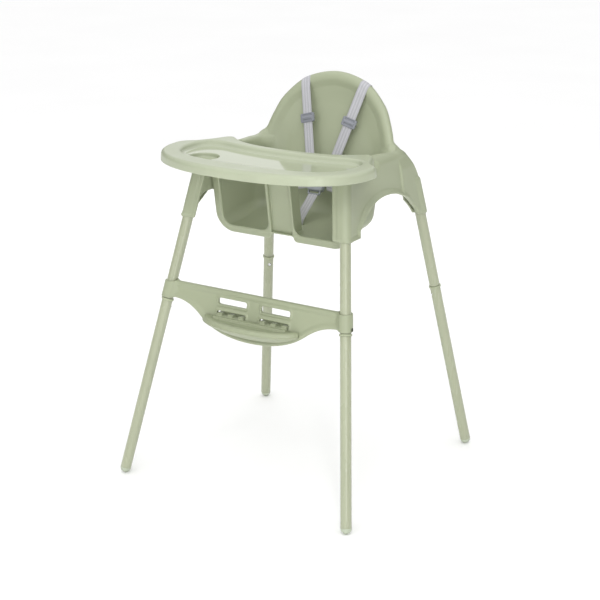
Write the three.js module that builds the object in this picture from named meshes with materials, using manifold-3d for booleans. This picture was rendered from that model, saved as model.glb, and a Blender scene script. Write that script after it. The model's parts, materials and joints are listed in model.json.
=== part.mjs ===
// A child's high chair: one moulded seat shell on four two-section tube legs, with a slide-on tray,
// a footrest bar and shelf across the front legs, and a five-point harness.
// Millimetres, +Z up. The chair faces -Y, and its origin is on the floor under its middle.
import * as THREE from 'three';
import { mergeVertices } from 'three/addons/utils/BufferGeometryUtils.js';
import Module from 'manifold-3d';

const wasm = await Module();
wasm.setup();

// ---- driving dimensions ----
const GAP = 0.35; // clearance kept between two pieces that fit together
const TUBE = { radius: 12.5, wall: 1.2, sides: 16 };
const LEGS = {
  front: {
    foot: [307.1, -297.6, 12],
    top: [190.0, -117.6, 757],
    socketEnd: 616,
    tubeTop: 742, // just under the arm's deck
    buttonFaces: [0, 1, 0],
  },
  rear: {
    foot: [300.0, 297.6, 12],
    top: [190.5, 166.0, 757],
    socketEnd: 609,
    tubeTop: 686,
    buttonFaces: [0, -1, 0],
  },
};
const JOINT_HEIGHT = 423; // height of the shoulder where the two leg sections meet
const NECK = { radius: 10.9, length: 56, bore: 9.7 };
const COLLAR = { radius: 14.5, height: 5.4 };
const FOOT = { radius: 12.5, plug: 16 };
const SOCKET = { radius: 15.2, bore: 12.85 };
const BUTTON = { radius: 3.9, flange: 5, flangeThick: 1.5, hole: 4.3, proud: 1.4 };

const SHELL = {
  wall: 4,
  halfWidth: 166, // outside of the bucket's side walls
  cornerRadius: 46,
  floor: 594, // top of the floor at the harness slot
  floorSlope: 0.1,
  floorRear: 70, // where the floor starts to curve up into the back
  backStart: 628, // the height at which that curve ends
  backRadius: 52,
  backAtFloor: 84, // inner face of the back, carried down to z = 600
  recline: 0.2745,
  frontY: -78, // the flange's front face at its lower edge
  frontLean: -0.16,
};
const FLANGE = { halfWidth: 181, bottom: 570, depth: 4, inner: 31, side: 162, radius: 48, top: 748 };
const POST = { halfWidth: 28, recess: 8, depth: 38, bottom: 594, top: 748 };
const ARM = {
  lean: -0.157, // the outer face leans in with the legs
  refZ: 615,
  inner: 184,
  outer: 227.4,
  wall: 4,
  deck: 754, // under the tray
  rest: 770, // behind the tray
  step: 5, // where the deck steps up to the rest
  innerBottom: 667,
  innerHidden: 6, // the cut-away of the inner side starts this far inside it
  rear: [[112, 770], [152, 769], [171, 727], [188, 690], [206, 600]], // behind the rest, down the pod
  archFront: [-112, 616],
  archRise: [[-82, 646], [-58, 682], [10, 684]],
  archFall: [[74, 686], [136, 660], [170, 609]],
};
const BACK = {
  base: 773,
  rimY: 120, // the rim's depth at its base
  bead: 9,
  beadBehind: 4, // from the rim plane to the middle of the bead
  edge: [[174, 773], [157, 818], [133, 860], [79, 905], [0, 923]], // half of the arched top edge
};
const LEDGE = { from: -74, to: 2, bottom: 738, top: 742, reach: 6 };
const TRAY = {
  halfWidth: 267,
  centreY: -126,
  depth: 172,
  power: 2.3,
  bottom: 758,
  top: 780,
  floor: 768,
  wall: 3,
};
const POCKET = { halfWidth: 217, centreY: -112, depth: 124, power: 2.9 };
const CUP = { x: -148, y: -176, radius: 36, wall: 2.6, floor: 758 };
const BAR = {
  lean: 0.2416, // it lies in the plane of the front legs
  refY: -188.4,
  refZ: 464,
  edge: 12,
  web: 4,
  rim: 4,
  collarBottom: 427.5,
  collarTop: 465,
  collarRadius: 16.6,
  slotHalf: 39.5,
  slotX: 58.5,
};
const SHELF = { halfWidth: 118, top: 405, thick: 11, rearY: -208, frontY: -276 };
const WEB = { width: 25, thick: 1.6 };

// ---- materials ----
const material = (color, roughness, metalness = 0) =>
  new THREE.MeshStandardMaterial({ color, roughness, metalness });
const LOOK = {
  shell: material('#b0b89e', 0.45),
  tray: material('#c6ccb1', 0.22),
  paint: material('#b8bda0', 0.3, 0.1),
  footrest: material('#b2b89a', 0.45),
  cap: material('#bcc3b1', 0.5),
  collar: material('#a9b096', 0.45),
  webbing: material('#a9aaaf', 0.9),
  buckle: material('#a3a7aa', 0.5),
  black: material('#2a2b2c', 0.5),
  chrome: material('#c9ccd0', 0.15, 1),
  spring: material('#8d9095', 0.3, 1),
};

// ---- solids ----
const vec = (x, y, z) => new THREE.Vector3(x, y, z);

// A closed geometry becomes a solid, turned right side out if its placing mirrored it.
function solid(geometry, placing = new THREE.Matrix4()) {
  const bare = geometry.clone();
  bare.deleteAttribute('normal');
  bare.deleteAttribute('uv');
  bare.applyMatrix4(placing);
  const merged = mergeVertices(bare, 1e-4);
  const at = merged.attributes.position;
  const corner = [vec(0, 0, 0), vec(0, 0, 0), vec(0, 0, 0)];
  const triangles = [];
  let volume = 0;
  for (let i = 0; i < merged.index.count; i += 3) {
    const ids = [0, 1, 2].map((k) => merged.index.getX(i + k));
    if (new Set(ids).size < 3) continue;
    ids.forEach((id, k) => corner[k].fromBufferAttribute(at, id));
    volume += corner[0].dot(corner[1].clone().cross(corner[2]));
    triangles.push(ids);
  }
  if (volume < 0) triangles.forEach((ids) => ids.reverse());
  const vertProperties = Float32Array.from(at.array);
  const triVerts = Uint32Array.from(triangles.flat());
  return new wasm.Manifold(new wasm.Mesh({ numProp: 3, vertProperties, triVerts }));
}

const join = (...parts) => parts.reduce((whole, part) => whole.add(part));
const cut = (whole, ...parts) => parts.reduce((rest, part) => rest.subtract(part), whole);

// A frame's three columns say where a flat shape's first and second directions and its depth point.
function frame(first, second, depth, origin = [0, 0, 0]) {
  return new THREE.Matrix4().makeBasis(vec(...first), vec(...second), vec(...depth)).setPosition(...origin);
}

const plan = (z) => frame([1, 0, 0], [0, 1, 0], [0, 0, 1], [0, 0, z]);

// A front view (x, z) run back along +Y from y, where lean moves it in Y as it rises from refZ.
const front = (y, lean = 0, refZ = 0) => frame([1, 0, 0], [0, lean, 1], [0, 1, 0], [0, y - lean * refZ, 0]);

// A side view (y, z) run out along X on the side given, where lean moves it in X as it rises.
const side = (x, sign = 1, lean = 0, refZ = 0) =>
  frame([0, 1, 0], [sign * lean, 0, 1], [sign, 0, 0], [sign * (x - lean * refZ), 0, 0]);

function extrude(shape, depth, placing, curveSegments = 6) {
  const geometry = new THREE.ExtrudeGeometry(shape, { depth, bevelEnabled: false, curveSegments });
  return solid(geometry, placing);
}

function block(low, high) {
  const size = high.map((value, i) => value - low[i]);
  const middle = high.map((value, i) => (value + low[i]) / 2);
  return solid(new THREE.BoxGeometry(...size), new THREE.Matrix4().setPosition(...middle));
}

// The frame that carries a turned shape's axis, +Y, onto a direction at an origin.
function onAxis(origin, direction) {
  const up = direction.clone().normalize();
  const hint = Math.abs(up.z) < 0.9 ? vec(0, 0, 1) : vec(0, 1, 0);
  const across = hint.clone().addScaledVector(up, -hint.dot(up)).normalize();
  const third = across.clone().cross(up);
  return new THREE.Matrix4().makeBasis(across, up, third).setPosition(origin);
}

// A profile of [radius, distance along the axis] pairs turned about the axis.
function turned(profile, placing, sides = TUBE.sides) {
  const points = profile.map(([radius, along]) => new THREE.Vector2(radius, along));
  return solid(new THREE.LatheGeometry(points, sides), placing);
}

function rod(from, to, radius, sides = 10) {
  const run = to.clone().sub(from);
  return turned([[0, 0], [radius, 0], [radius, run.length()], [0, run.length()]], onAxis(from, run), sides);
}

function outline(points) {
  return new THREE.Shape(points.map(([x, y]) => new THREE.Vector2(x, y)));
}

function roundedRect(x0, y0, x1, y1, radius) {
  const shape = new THREE.Shape();
  shape.moveTo(x0 + radius, y0);
  shape.lineTo(x1 - radius, y0);
  shape.absarc(x1 - radius, y0 + radius, radius, -Math.PI / 2, 0, false);
  shape.lineTo(x1, y1 - radius);
  shape.absarc(x1 - radius, y1 - radius, radius, 0, Math.PI / 2, false);
  shape.lineTo(x0 + radius, y1);
  shape.absarc(x0 + radius, y1 - radius, radius, Math.PI / 2, Math.PI, false);
  shape.lineTo(x0, y0 + radius);
  shape.absarc(x0 + radius, y0 + radius, radius, Math.PI, Math.PI * 1.5, false);
  return shape;
}

// ---- the named pieces ----
const chair = new THREE.Group();

function piece(name, body, look) {
  const mesh = body.getMesh();
  const geometry = new THREE.BufferGeometry();
  geometry.setAttribute('position', new THREE.BufferAttribute(new Float32Array(mesh.vertProperties), 3));
  geometry.setIndex(new THREE.BufferAttribute(new Uint32Array(mesh.triVerts), 1));
  geometry.computeVertexNormals();
  const named = new THREE.Mesh(geometry, look);
  named.name = name;
  chair.add(named);
}

// ---- legs ----
const SIDES = [['right', 1], ['left', -1]];
const CORNERS = Object.keys(LEGS).flatMap((end) =>
  SIDES.map(([name, sign]) => [`${end}_${name}`, end, sign]));

function legAxis(end, sign) {
  const { foot, top } = LEGS[end];
  const from = vec(sign * foot[0], foot[1], foot[2]);
  const to = vec(sign * top[0], top[1], top[2]);
  const direction = to.clone().sub(from).normalize();
  const at = (z) => from.clone().addScaledVector(direction, (z - from.z) / direction.z);
  return { from, direction, at };
}

// A direction square to the leg that points as nearly as it can along a wanted one.
function squareTo(direction, wanted) {
  return wanted.clone().addScaledVector(direction, -wanted.dot(direction)).normalize();
}

function midButtonSpot({ at, direction }) {
  const origin = at(JOINT_HEIGHT).addScaledVector(direction, -(COLLAR.height + 16));
  const inward = vec(-origin.x, -origin.y, 0);
  return { origin, out: squareTo(direction, inward) };
}

function socketButtonSpot({ at, direction }, end) {
  return { origin: at(LEGS[end].socketEnd + 30), out: squareTo(direction, vec(...LEGS[end].buttonFaces)) };
}

// A domed pin with a flange that stops it from leaving the tube.
function snapButton({ origin, out }, bore, skin) {
  const seat = Math.sqrt((bore - GAP) ** 2 - BUTTON.flange ** 2);
  const tip = skin + BUTTON.proud;
  const profile = [
    [0, seat - BUTTON.flangeThick],
    [BUTTON.flange, seat - BUTTON.flangeThick],
    [BUTTON.flange, seat],
    [BUTTON.radius, seat],
    [BUTTON.radius, tip - 1.6],
    [BUTTON.radius * 0.8, tip - 0.6],
    [BUTTON.radius * 0.42, tip - 0.1],
    [0, tip],
  ];
  return turned(profile, onAxis(origin, out), 10);
}

// A folded leaf inside the tube: one arm behind the button, the other against the far wall.
function leafSpring({ origin, out }, direction, bore) {
  const seat = Math.sqrt((bore - GAP) ** 2 - BUTTON.flange ** 2) - BUTTON.flangeThick - GAP;
  const far = 1.2 - bore;
  const leaf = outline([
    [seat, 5],
    [seat - 0.7, 5],
    [seat - 0.7, -4],
    [0, -27],
    [far + 0.7, -4],
    [far + 0.7, 5],
    [far, 5],
    [far, -4.2],
    [-0.5, -29],
    [0.5, -29],
    [seat, -4.2],
  ]);
  const across = out.clone().cross(direction).multiplyScalar(6);
  const corner = origin.clone().addScaledVector(across, -0.5);
  const placing = new THREE.Matrix4().makeBasis(out, direction, across).setPosition(corner);
  return extrude(leaf, 1, placing);
}

function addLeg(name, end, sign) {
  const axis = legAxis(end, sign);
  const shoulder = axis.at(JOINT_HEIGHT);
  const length = axis.at(LEGS[end].tubeTop).distanceTo(shoulder);
  const bore = TUBE.radius - TUBE.wall;
  const mid = midButtonSpot(axis);
  const lock = socketButtonSpot(axis, end);
  const place = onAxis(shoulder, axis.direction);
  const hole = ({ origin, out }, reach) =>
    rod(origin, origin.clone().addScaledVector(out, reach), BUTTON.hole);

  const upper = turned([
    [NECK.bore, -NECK.length],
    [NECK.radius, -NECK.length],
    [NECK.radius, 0],
    [TUBE.radius, 1.2],
    [TUBE.radius, length],
    [bore, length],
    [bore, 4],
    [NECK.bore, 2],
    [NECK.bore, -NECK.length],
  ], place);
  piece(`leg_upper_${name}`, cut(upper, hole(mid, 20), hole(lock, 20)), LOOK.paint);

  const lowerTop = -COLLAR.height - GAP;
  const lowerEnd = -shoulder.distanceTo(axis.from) + GAP;
  const lower = turned([
    [bore, lowerEnd],
    [TUBE.radius, lowerEnd],
    [TUBE.radius, lowerTop],
    [bore, lowerTop],
    [bore, lowerEnd],
  ], place);
  piece(`leg_lower_${name}`, cut(lower, hole(mid, 20)), LOOK.paint);

  const collarBore = NECK.radius + GAP;
  const collar = turned([
    [collarBore, -COLLAR.height],
    [COLLAR.radius - 1, -COLLAR.height],
    [COLLAR.radius, 1 - COLLAR.height],
    [COLLAR.radius, -1 - GAP],
    [COLLAR.radius - 1, -GAP],
    [collarBore, -GAP],
    [collarBore, -COLLAR.height],
  ], place);
  piece(`joint_collar_${name}`, collar, LOOK.collar);

  piece(`foot_cap_${name}`, footCap(axis), LOOK.cap);
  piece(`snap_button_${name}`, snapButton(mid, NECK.bore, TUBE.radius), LOOK.chrome);
  piece(`snap_spring_${name}`, leafSpring(mid, axis.direction, NECK.bore), LOOK.spring);
  piece(`socket_button_${name}`, snapButton(lock, bore, SOCKET.radius), LOOK.chrome);
  piece(`socket_spring_${name}`, leafSpring(lock, axis.direction, bore), LOOK.spring);
}

// A round-ended plug in the tube's end, with a small flat pad that meets the floor.
function footCap({ from, direction }) {
  const round = [];
  const steps = 5;
  for (let i = 0; i <= steps; i += 1) {
    const angle = -Math.PI / 2 + (i / steps) * (Math.PI / 2);
    round.push([FOOT.radius * Math.cos(angle), FOOT.radius * Math.sin(angle)]);
  }
  round[0][0] = 0;
  const plugRadius = TUBE.radius - TUBE.wall - GAP;
  const profile = [
    ...round,
    [plugRadius, 0],
    [plugRadius, FOOT.plug - 1],
    [plugRadius - 1, FOOT.plug],
    [0, FOOT.plug],
  ];
  const cap = turned(profile, onAxis(from, direction));
  const below = block([from.x - 40, from.y - 40, -40], [from.x + 40, from.y + 40, 0]);
  return cut(cap, below);
}

// ---- seat shell ----
const backInner = (z) => SHELL.backAtFloor + SHELL.recline * (z - 600);
const rimY = (z) => BACK.rimY + SHELL.recline * (z - BACK.base);
const floorTop = (y) => SHELL.floor + SHELL.floorSlope * (y + 10);

// The bucket and back seen from above, offset outward by grow, and sheared back with the recline.
function seatPlan(grow, halfWidth) {
  const half = halfWidth - SHELL.wall + grow;
  const radius = SHELL.backRadius + grow;
  const back = SHELL.backAtFloor + grow;
  const sheared = frame([1, 0, 0], [0, 1, 0], [0, SHELL.recline, 1], [0, -SHELL.recline * 60, 540]);
  const shape = new THREE.Shape();
  shape.moveTo(-half, -200);
  shape.lineTo(half, -200);
  shape.lineTo(half, back - radius);
  shape.absarc(half - radius, back - radius, radius, 0, Math.PI / 2, false);
  shape.lineTo(radius - half, back);
  shape.absarc(radius - half, back - radius, radius, Math.PI / 2, Math.PI, false);
  return extrude(shape, 420, sheared, 8);
}

// The back's arched top edge from right to left, drawn in by inset.
function backEdge(inset, steps = 20) {
  const right = BACK.edge.map(([x, z]) => vec(x, z, 0));
  const left = BACK.edge.slice(0, -1).reverse().map(([x, z]) => vec(-x, z, 0));
  const curve = new THREE.CatmullRomCurve3([...right, ...left]);
  return Array.from({ length: steps + 1 }, (_, i) => {
    const point = curve.getPointAt(i / steps);
    const run = curve.getTangentAt(i / steps);
    return [point.x - run.y * inset, point.y + run.x * inset];
  });
}

// The bucket's rounded lower corners, seen from the front.
function seatFront(grow, top) {
  const half = SHELL.halfWidth - SHELL.wall + grow;
  const shape = new THREE.Shape();
  const radius = SHELL.cornerRadius;
  const low = floorTop(SHELL.frontY) - 4 - grow;
  shape.moveTo(-half + radius, low);
  shape.lineTo(half - radius, low);
  shape.absarc(half - radius, low + radius, radius, -Math.PI / 2, 0, false);
  shape.lineTo(half, top);
  shape.lineTo(-half, top);
  shape.lineTo(-half, low + radius);
  shape.absarc(-half + radius, low + radius, radius, Math.PI, Math.PI * 1.5, false);
  return extrude(shape, 500, front(-250), 8);
}

// The floor line, the curve up into the back, and what lies in front of the back, seen from the side.
function seatSide(grow, armTop, rimLine) {
  const rearFloor = SHELL.floorRear;
  const shape = new THREE.Shape();
  shape.moveTo(-260, floorTop(-260) - grow);
  shape.lineTo(rearFloor, floorTop(rearFloor) - grow);
  const corner = backInner(610) + grow;
  const rise = SHELL.backStart;
  shape.quadraticCurveTo(corner, floorTop(corner) - grow, backInner(rise) + grow, rise);
  shape.lineTo(backInner(960) + grow, 960);
  if (rimLine) {
    shape.lineTo(rimY(960), 960);
    shape.lineTo(rimY(armTop), armTop);
    shape.lineTo(ARM.step, armTop);
    shape.lineTo(ARM.step, ARM.deck);
    shape.lineTo(-260, ARM.deck);
  } else {
    shape.lineTo(-260, 960);
  }
  return extrude(shape, 500, side(-250), 8);
}

function bucketAndBack() {
  const outer = seatPlan(SHELL.wall, SHELL.halfWidth)
    .intersect(seatFront(SHELL.wall, ARM.rest))
    .intersect(seatSide(SHELL.wall, ARM.rest, true));
  const hollow = seatPlan(0, SHELL.halfWidth)
    .intersect(seatFront(0, 990))
    .intersect(seatSide(0, ARM.rest, false));
  return join(cut(outer, hollow, aheadOfFront(ARM.deck + 4)), backSheet());
}

// The back above the arms: it widens to the arched edge, and its sides turn forward to the rim.
function backSheet() {
  const width = BACK.edge[0][0];
  const edge = backEdge(BACK.bead);
  const low = ARM.rest - 8;
  const arch = outline([[-width, low], [width, low], ...edge.filter(([, z]) => z > low)]);
  return cut(seatPlan(SHELL.wall, width), seatPlan(0, width))
    .intersect(extrude(arch, 500, front(-250)))
    .intersect(seatSide(SHELL.wall, low, true));
}

// Everything ahead of the plane that the flanges' front faces lie in.
function aheadOfFront(top) {
  const ahead = roundedRect(-300, 500, 300, top, 1);
  return extrude(ahead, 300, front(SHELL.frontY - 300, SHELL.frontLean, FLANGE.bottom), 1);
}

// The rolled edge along the top of the back, from arm to arm.
function rimBead() {
  const points = backEdge(BACK.bead).map(([x, z]) => vec(x, rimY(z) + BACK.beadBehind, z));
  const path = new THREE.CatmullRomCurve3(points);
  const section = new THREE.Shape().absarc(0, 0, BACK.bead, 0, Math.PI * 2, false);
  const bead = new THREE.ExtrudeGeometry(section, {
    steps: 24,
    extrudePath: path,
    bevelEnabled: false,
    curveSegments: 4,
  });
  return solid(bead);
}

// A flange round each leg opening, broad on the outer side and along the bottom.
function openingFlanges() {
  const { halfWidth, bottom, inner, side: wallX, radius, top, depth } = FLANGE;
  const open = roundedRect(inner + 4, bottom + 18, wallX, top + 200, 30);
  const place = (sign, from) => new THREE.Matrix4()
    .makeScale(sign, 1, 1)
    .multiply(front(SHELL.frontY + from, SHELL.frontLean, bottom));
  const rims = SIDES.map(([, sign]) => {
    const rim = new THREE.Shape();
    rim.moveTo(inner + 10, bottom);
    rim.lineTo(halfWidth - radius, bottom);
    rim.absarc(halfWidth - radius, bottom + radius, radius, -Math.PI / 2, 0, false);
    rim.lineTo(halfWidth, top);
    rim.lineTo(inner - 3, top);
    rim.lineTo(inner, bottom + 10);
    rim.absarc(inner + 10, bottom + 10, 10, Math.PI, Math.PI * 1.5, false);
    return cut(extrude(rim, depth, place(sign, 0)), extrude(open, depth + 2, place(sign, -1)));
  });
  return join(...rims);
}

// The post between the leg openings: a web set back between the two inner flanges.
function crotchPost() {
  const { halfWidth, recess, depth, bottom, top } = POST;
  const placing = (y) => front(SHELL.frontY + y, SHELL.frontLean, FLANGE.bottom);
  const slab = (x, from, to, low, high) =>
    extrude(roundedRect(-x, low, x, high, 1), to - from, placing(from), 1);
  const solidPost = slab(halfWidth + 4, 0, depth, bottom - 6, top);
  const pocket = slab(halfWidth, -1, recess, 400, top + 9);
  const inside = slab(halfWidth, recess + 4, depth - 4, 400, top - 4);
  return { solidPost, pocket, inside };
}

// One arm: an upside-down channel whose outer side is arched, with a leg socket at each end.
function armBody(sign) {
  const footZ = 560;
  const frontAxis = legAxis('front', 1);
  const drop = (shape, grow) => {
    shape.moveTo(frontAxis.at(footZ).y - grow, footZ);
    shape.lineTo(frontAxis.at(ARM.deck).y - grow, ARM.deck + grow);
    shape.lineTo(ARM.step, ARM.deck + grow);
    shape.lineTo(ARM.step, ARM.rest + grow);
    const [from, shoulder, elbow, pod, end] = ARM.rear;
    shape.lineTo(from[0], from[1] + grow);
    shape.quadraticCurveTo(shoulder[0] + grow, shoulder[1] + grow, elbow[0] + grow, elbow[1]);
    shape.quadraticCurveTo(pod[0] + grow, pod[1], end[0] + grow, end[1]);
    shape.lineTo(end[0] + grow, footZ);
    return shape;
  };
  const outside = drop(new THREE.Shape(), 0);
  const inside = drop(new THREE.Shape(), -ARM.wall);
  const wide = ARM.outer - ARM.inner;
  const shell = extrude(outside, wide, side(ARM.inner, sign, ARM.lean, ARM.refZ));
  const channel = extrude(inside, wide - 2 * ARM.wall,
    side(ARM.inner + ARM.wall, sign, ARM.lean, ARM.refZ));
  const wideChannel = extrude(inside, 120, side(ARM.outer - ARM.wall - 120, sign, ARM.lean, ARM.refZ));
  const middle = block([-300, SHELL.frontY - 12, 500], [300, 92, ARM.deck - ARM.wall]);
  const innerCut = extrude(roundedRect(-300, 500, 400, ARM.innerBottom, 1), 26,
    side(ARM.inner - ARM.innerHidden, sign, ARM.lean, ARM.refZ), 1);

  const arch = new THREE.Shape();
  arch.moveTo(-300, 500);
  arch.lineTo(-300, LEGS.front.socketEnd);
  arch.lineTo(...ARM.archFront);
  arch.bezierCurveTo(...ARM.archRise.flat());
  arch.bezierCurveTo(...ARM.archFall.flat());
  arch.lineTo(300, LEGS.rear.socketEnd);
  arch.lineTo(300, 500);
  const under = extrude(arch, 160, side(120, sign), 8);
  const ends = ['front', 'rear'];
  const belowDeck = block([-300, -300, 500], [300, 300, ARM.deck - ARM.wall]);
  const sockets = ends.map((end) => {
    const { at } = legAxis(end, sign);
    const barrel = rod(at(LEGS[end].socketEnd), at(LEGS[end].tubeTop + 7), SOCKET.radius, TUBE.sides);
    return barrel.intersect(belowDeck);
  });
  const bores = ends.map((end) => {
    const { at } = legAxis(end, sign);
    return rod(at(LEGS[end].socketEnd - 30), at(LEGS[end].tubeTop + 1), SOCKET.bore, TUBE.sides);
  });
  const buttonHoles = ends.map((end) => {
    const { origin, out } = socketButtonSpot(legAxis(end, sign), end);
    return rod(origin, origin.clone().addScaledVector(out, 30), BUTTON.hole);
  });
  const hollowed = cut(shell, channel, wideChannel.intersect(middle), innerCut, under);
  return { body: join(hollowed, ...sockets), holes: [...bores, ...buttonHoles] };
}

// Ledges inside the bucket that the tray's rails hook under.
function trayLedges() {
  return SIDES.map(([, sign]) => {
    const wall = sign * (SHELL.halfWidth - SHELL.wall + 1);
    const tip = sign * (SHELL.halfWidth - SHELL.wall - LEDGE.reach);
    return block(
      [Math.min(wall, tip), LEDGE.from, LEDGE.bottom],
      [Math.max(wall, tip), LEDGE.to, LEDGE.top],
    );
  });
}

const WAIST_SLOT = { x: 84, z: 655, half: 15, gap: 2.6 };
const CROTCH_SLOT = { y: -10, half: 14.5, gap: 3.2 };

function seatShell() {
  const arms = SIDES.map(([, sign]) => armBody(sign));
  const post = crotchPost();
  const flanges = openingFlanges();
  const body = join(bucketAndBack(), flanges, ...arms.map(({ body: arm }) => arm), rimBead(),
    post.solidPost, ...trayLedges());
  const { x, z, half, gap } = WAIST_SLOT;
  const waistSlots = SIDES.map(([, sign]) =>
    block([sign * x - gap, 60, z - half], [sign * x + gap, 180, z + half]));
  const crotchSlot = block(
    [-CROTCH_SLOT.half, CROTCH_SLOT.y - CROTCH_SLOT.gap, 560],
    [CROTCH_SLOT.half, CROTCH_SLOT.y + CROTCH_SLOT.gap, 620],
  );
  return cut(body, post.pocket, post.inside, ...waistSlots, crotchSlot,
    ...arms.flatMap(({ holes }) => holes));
}

// ---- tray ----
// The rounded front half of an outline, from its right end to its left, as a superellipse.
function frontSweep(shape, { halfWidth, centreY, depth, power }, grow, steps = 26) {
  for (let i = 0; i <= steps; i += 1) {
    const angle = (i / steps) * Math.PI;
    const x = (halfWidth + grow) * Math.sign(Math.cos(angle)) * Math.abs(Math.cos(angle)) ** (2 / power);
    const y = centreY - (depth + grow) * Math.abs(Math.sin(angle)) ** (2 / power);
    if (i === 0) shape.moveTo(x, y);
    else shape.lineTo(x, y);
  }
}

// The tray's outline: a broad front, cut-back corners, a lobe over each arm and a hollow rear edge.
function trayOutline(grow) {
  const shape = new THREE.Shape();
  frontSweep(shape, TRAY, grow);
  const edge = TRAY.halfWidth + grow;
  shape.quadraticCurveTo(-edge, -102 + grow, -240 - grow, -83 + grow);
  shape.quadraticCurveTo(-224 - grow, -64 + grow, -210 - grow, -30 + grow);
  shape.quadraticCurveTo(-200 - grow, 2 + grow, -178, -2 + grow);
  shape.bezierCurveTo(-130, -48 + grow, -80, -56 + grow, 0, -57 + grow);
  shape.bezierCurveTo(80, -56 + grow, 130, -48 + grow, 178, -2 + grow);
  shape.quadraticCurveTo(200 + grow, 2 + grow, 210 + grow, -30 + grow);
  shape.quadraticCurveTo(224 + grow, -64 + grow, 240 + grow, -83 + grow);
  shape.quadraticCurveTo(edge, -102 + grow, edge, TRAY.centreY);
  return shape;
}

function pocketOutline(grow) {
  const shape = new THREE.Shape();
  frontSweep(shape, POCKET, grow);
  const edge = POCKET.halfWidth + grow;
  shape.bezierCurveTo(-edge, -84 + grow, -196, -64 + grow, -158, -72 + grow);
  shape.bezierCurveTo(-110, -86 + grow, -60, -92 + grow, 0, -92 + grow);
  shape.bezierCurveTo(60, -92 + grow, 110, -86 + grow, 158, -72 + grow);
  shape.bezierCurveTo(196, -64 + grow, edge, -84 + grow, edge, POCKET.centreY);
  return shape;
}

function trayBody() {
  const { bottom, top, floor, wall } = TRAY;
  const slab = extrude(trayOutline(0), top - bottom, plan(bottom));
  const pocket = extrude(pocketOutline(0), top - floor + 1, plan(floor));
  const under = extrude(trayOutline(-wall), top - wall - bottom + 1, plan(bottom - 1));
  const keep = extrude(pocketOutline(wall), top - floor + wall, plan(floor - wall));
  const channel = cut(under, keep);
  const cupPlace = new THREE.Matrix4().makeTranslation(CUP.x, CUP.y, 0);
  const cupDisc = (radius, low, high) => {
    const shape = new THREE.Shape().absarc(0, 0, radius, 0, Math.PI * 2, false);
    return extrude(shape, high - low, cupPlace.clone().multiply(plan(low)), 16);
  };
  const cupOutside = cupDisc(CUP.radius + CUP.wall, CUP.floor - CUP.wall, floor - 1);
  const cupInside = cupDisc(CUP.radius, CUP.floor, floor + 1);
  const rails = SIDES.map(([, sign]) => {
    const wallX = SHELL.halfWidth - SHELL.wall - LEDGE.reach;
    const span = (a, b, low, high) => block(
      [Math.min(sign * a, sign * b), LEDGE.from, low],
      [Math.max(sign * a, sign * b), LEDGE.to - 8, high],
    );
    const stem = span(wallX - 4, wallX - 1, LEDGE.bottom - 5, top - 1);
    const hook = span(wallX - 4, wallX + 3.5, LEDGE.bottom - 5, LEDGE.bottom - 1);
    return join(stem, hook);
  });
  return cut(join(cut(slab, channel), cupOutside, ...rails), pocket, cupInside);
}

// ---- footrest ----
const barPlacing = (depthFrom) => front(BAR.refY + depthFrom, BAR.lean, BAR.refZ);

// The bar's outline, offset inward by shrink: a straight top and a lower edge that dips in the middle.
function barOutline(shrink) {
  const end = 226 - shrink;
  const top = 468 - shrink;
  const shape = new THREE.Shape();
  shape.moveTo(-end, 436 + shrink);
  shape.bezierCurveTo(-190, 428 + shrink, -160, 405 + shrink, -132, 398 + shrink);
  shape.bezierCurveTo(-100, 388 + shrink, -50, 385 + shrink, 0, 385 + shrink);
  shape.bezierCurveTo(50, 385 + shrink, 100, 388 + shrink, 132, 398 + shrink);
  shape.bezierCurveTo(160, 405 + shrink, 190, 428 + shrink, end, 436 + shrink);
  shape.lineTo(end, top - 4);
  shape.lineTo(-end, top - 4);
  return shape;
}

const SLOT_ROWS = { upper: { z: 440, half: 7.5 }, lower: { z: 412, half: 6.5 } };

function footrestBar() {
  const rim = extrude(barOutline(0), BAR.edge, barPlacing(-BAR.edge / 2));
  const pocket = (from) => extrude(barOutline(BAR.rim), BAR.edge / 2 - BAR.web / 2, barPlacing(from));
  const plate = cut(rim, pocket(-BAR.edge / 2 - 0.01), pocket(BAR.web / 2 + 0.01));
  const windows = Object.values(SLOT_ROWS).flatMap(({ z, half }) => SIDES.map(([, sign]) => {
    const x = sign * BAR.slotX;
    const mouth = roundedRect(x - BAR.slotHalf, z - half, x + BAR.slotHalf, z + half, 4);
    return extrude(mouth, 40, barPlacing(-20), 3);
  }));
  const frames = Object.values(SLOT_ROWS).flatMap(({ z, half }) => SIDES.map(([, sign]) => {
    const x = sign * BAR.slotX;
    const grown = half + 3;
    const wide = BAR.slotHalf + 3;
    return extrude(roundedRect(x - wide, z - grown, x + wide, z + grown, 6), 8, barPlacing(-4), 3);
  }));
  const ends = SIDES.map(([, sign]) => {
    const { at } = legAxis('front', sign);
    return {
      collar: rod(at(BAR.collarBottom), at(BAR.collarTop), BAR.collarRadius, TUBE.sides),
      bore: rod(at(BAR.collarBottom - 9), at(BAR.collarTop + 9), TUBE.radius + GAP, TUBE.sides),
    };
  });
  return cut(join(plate, ...frames, ...ends.map(({ collar }) => collar)), ...windows,
    ...ends.map(({ bore }) => bore));
}

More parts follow.
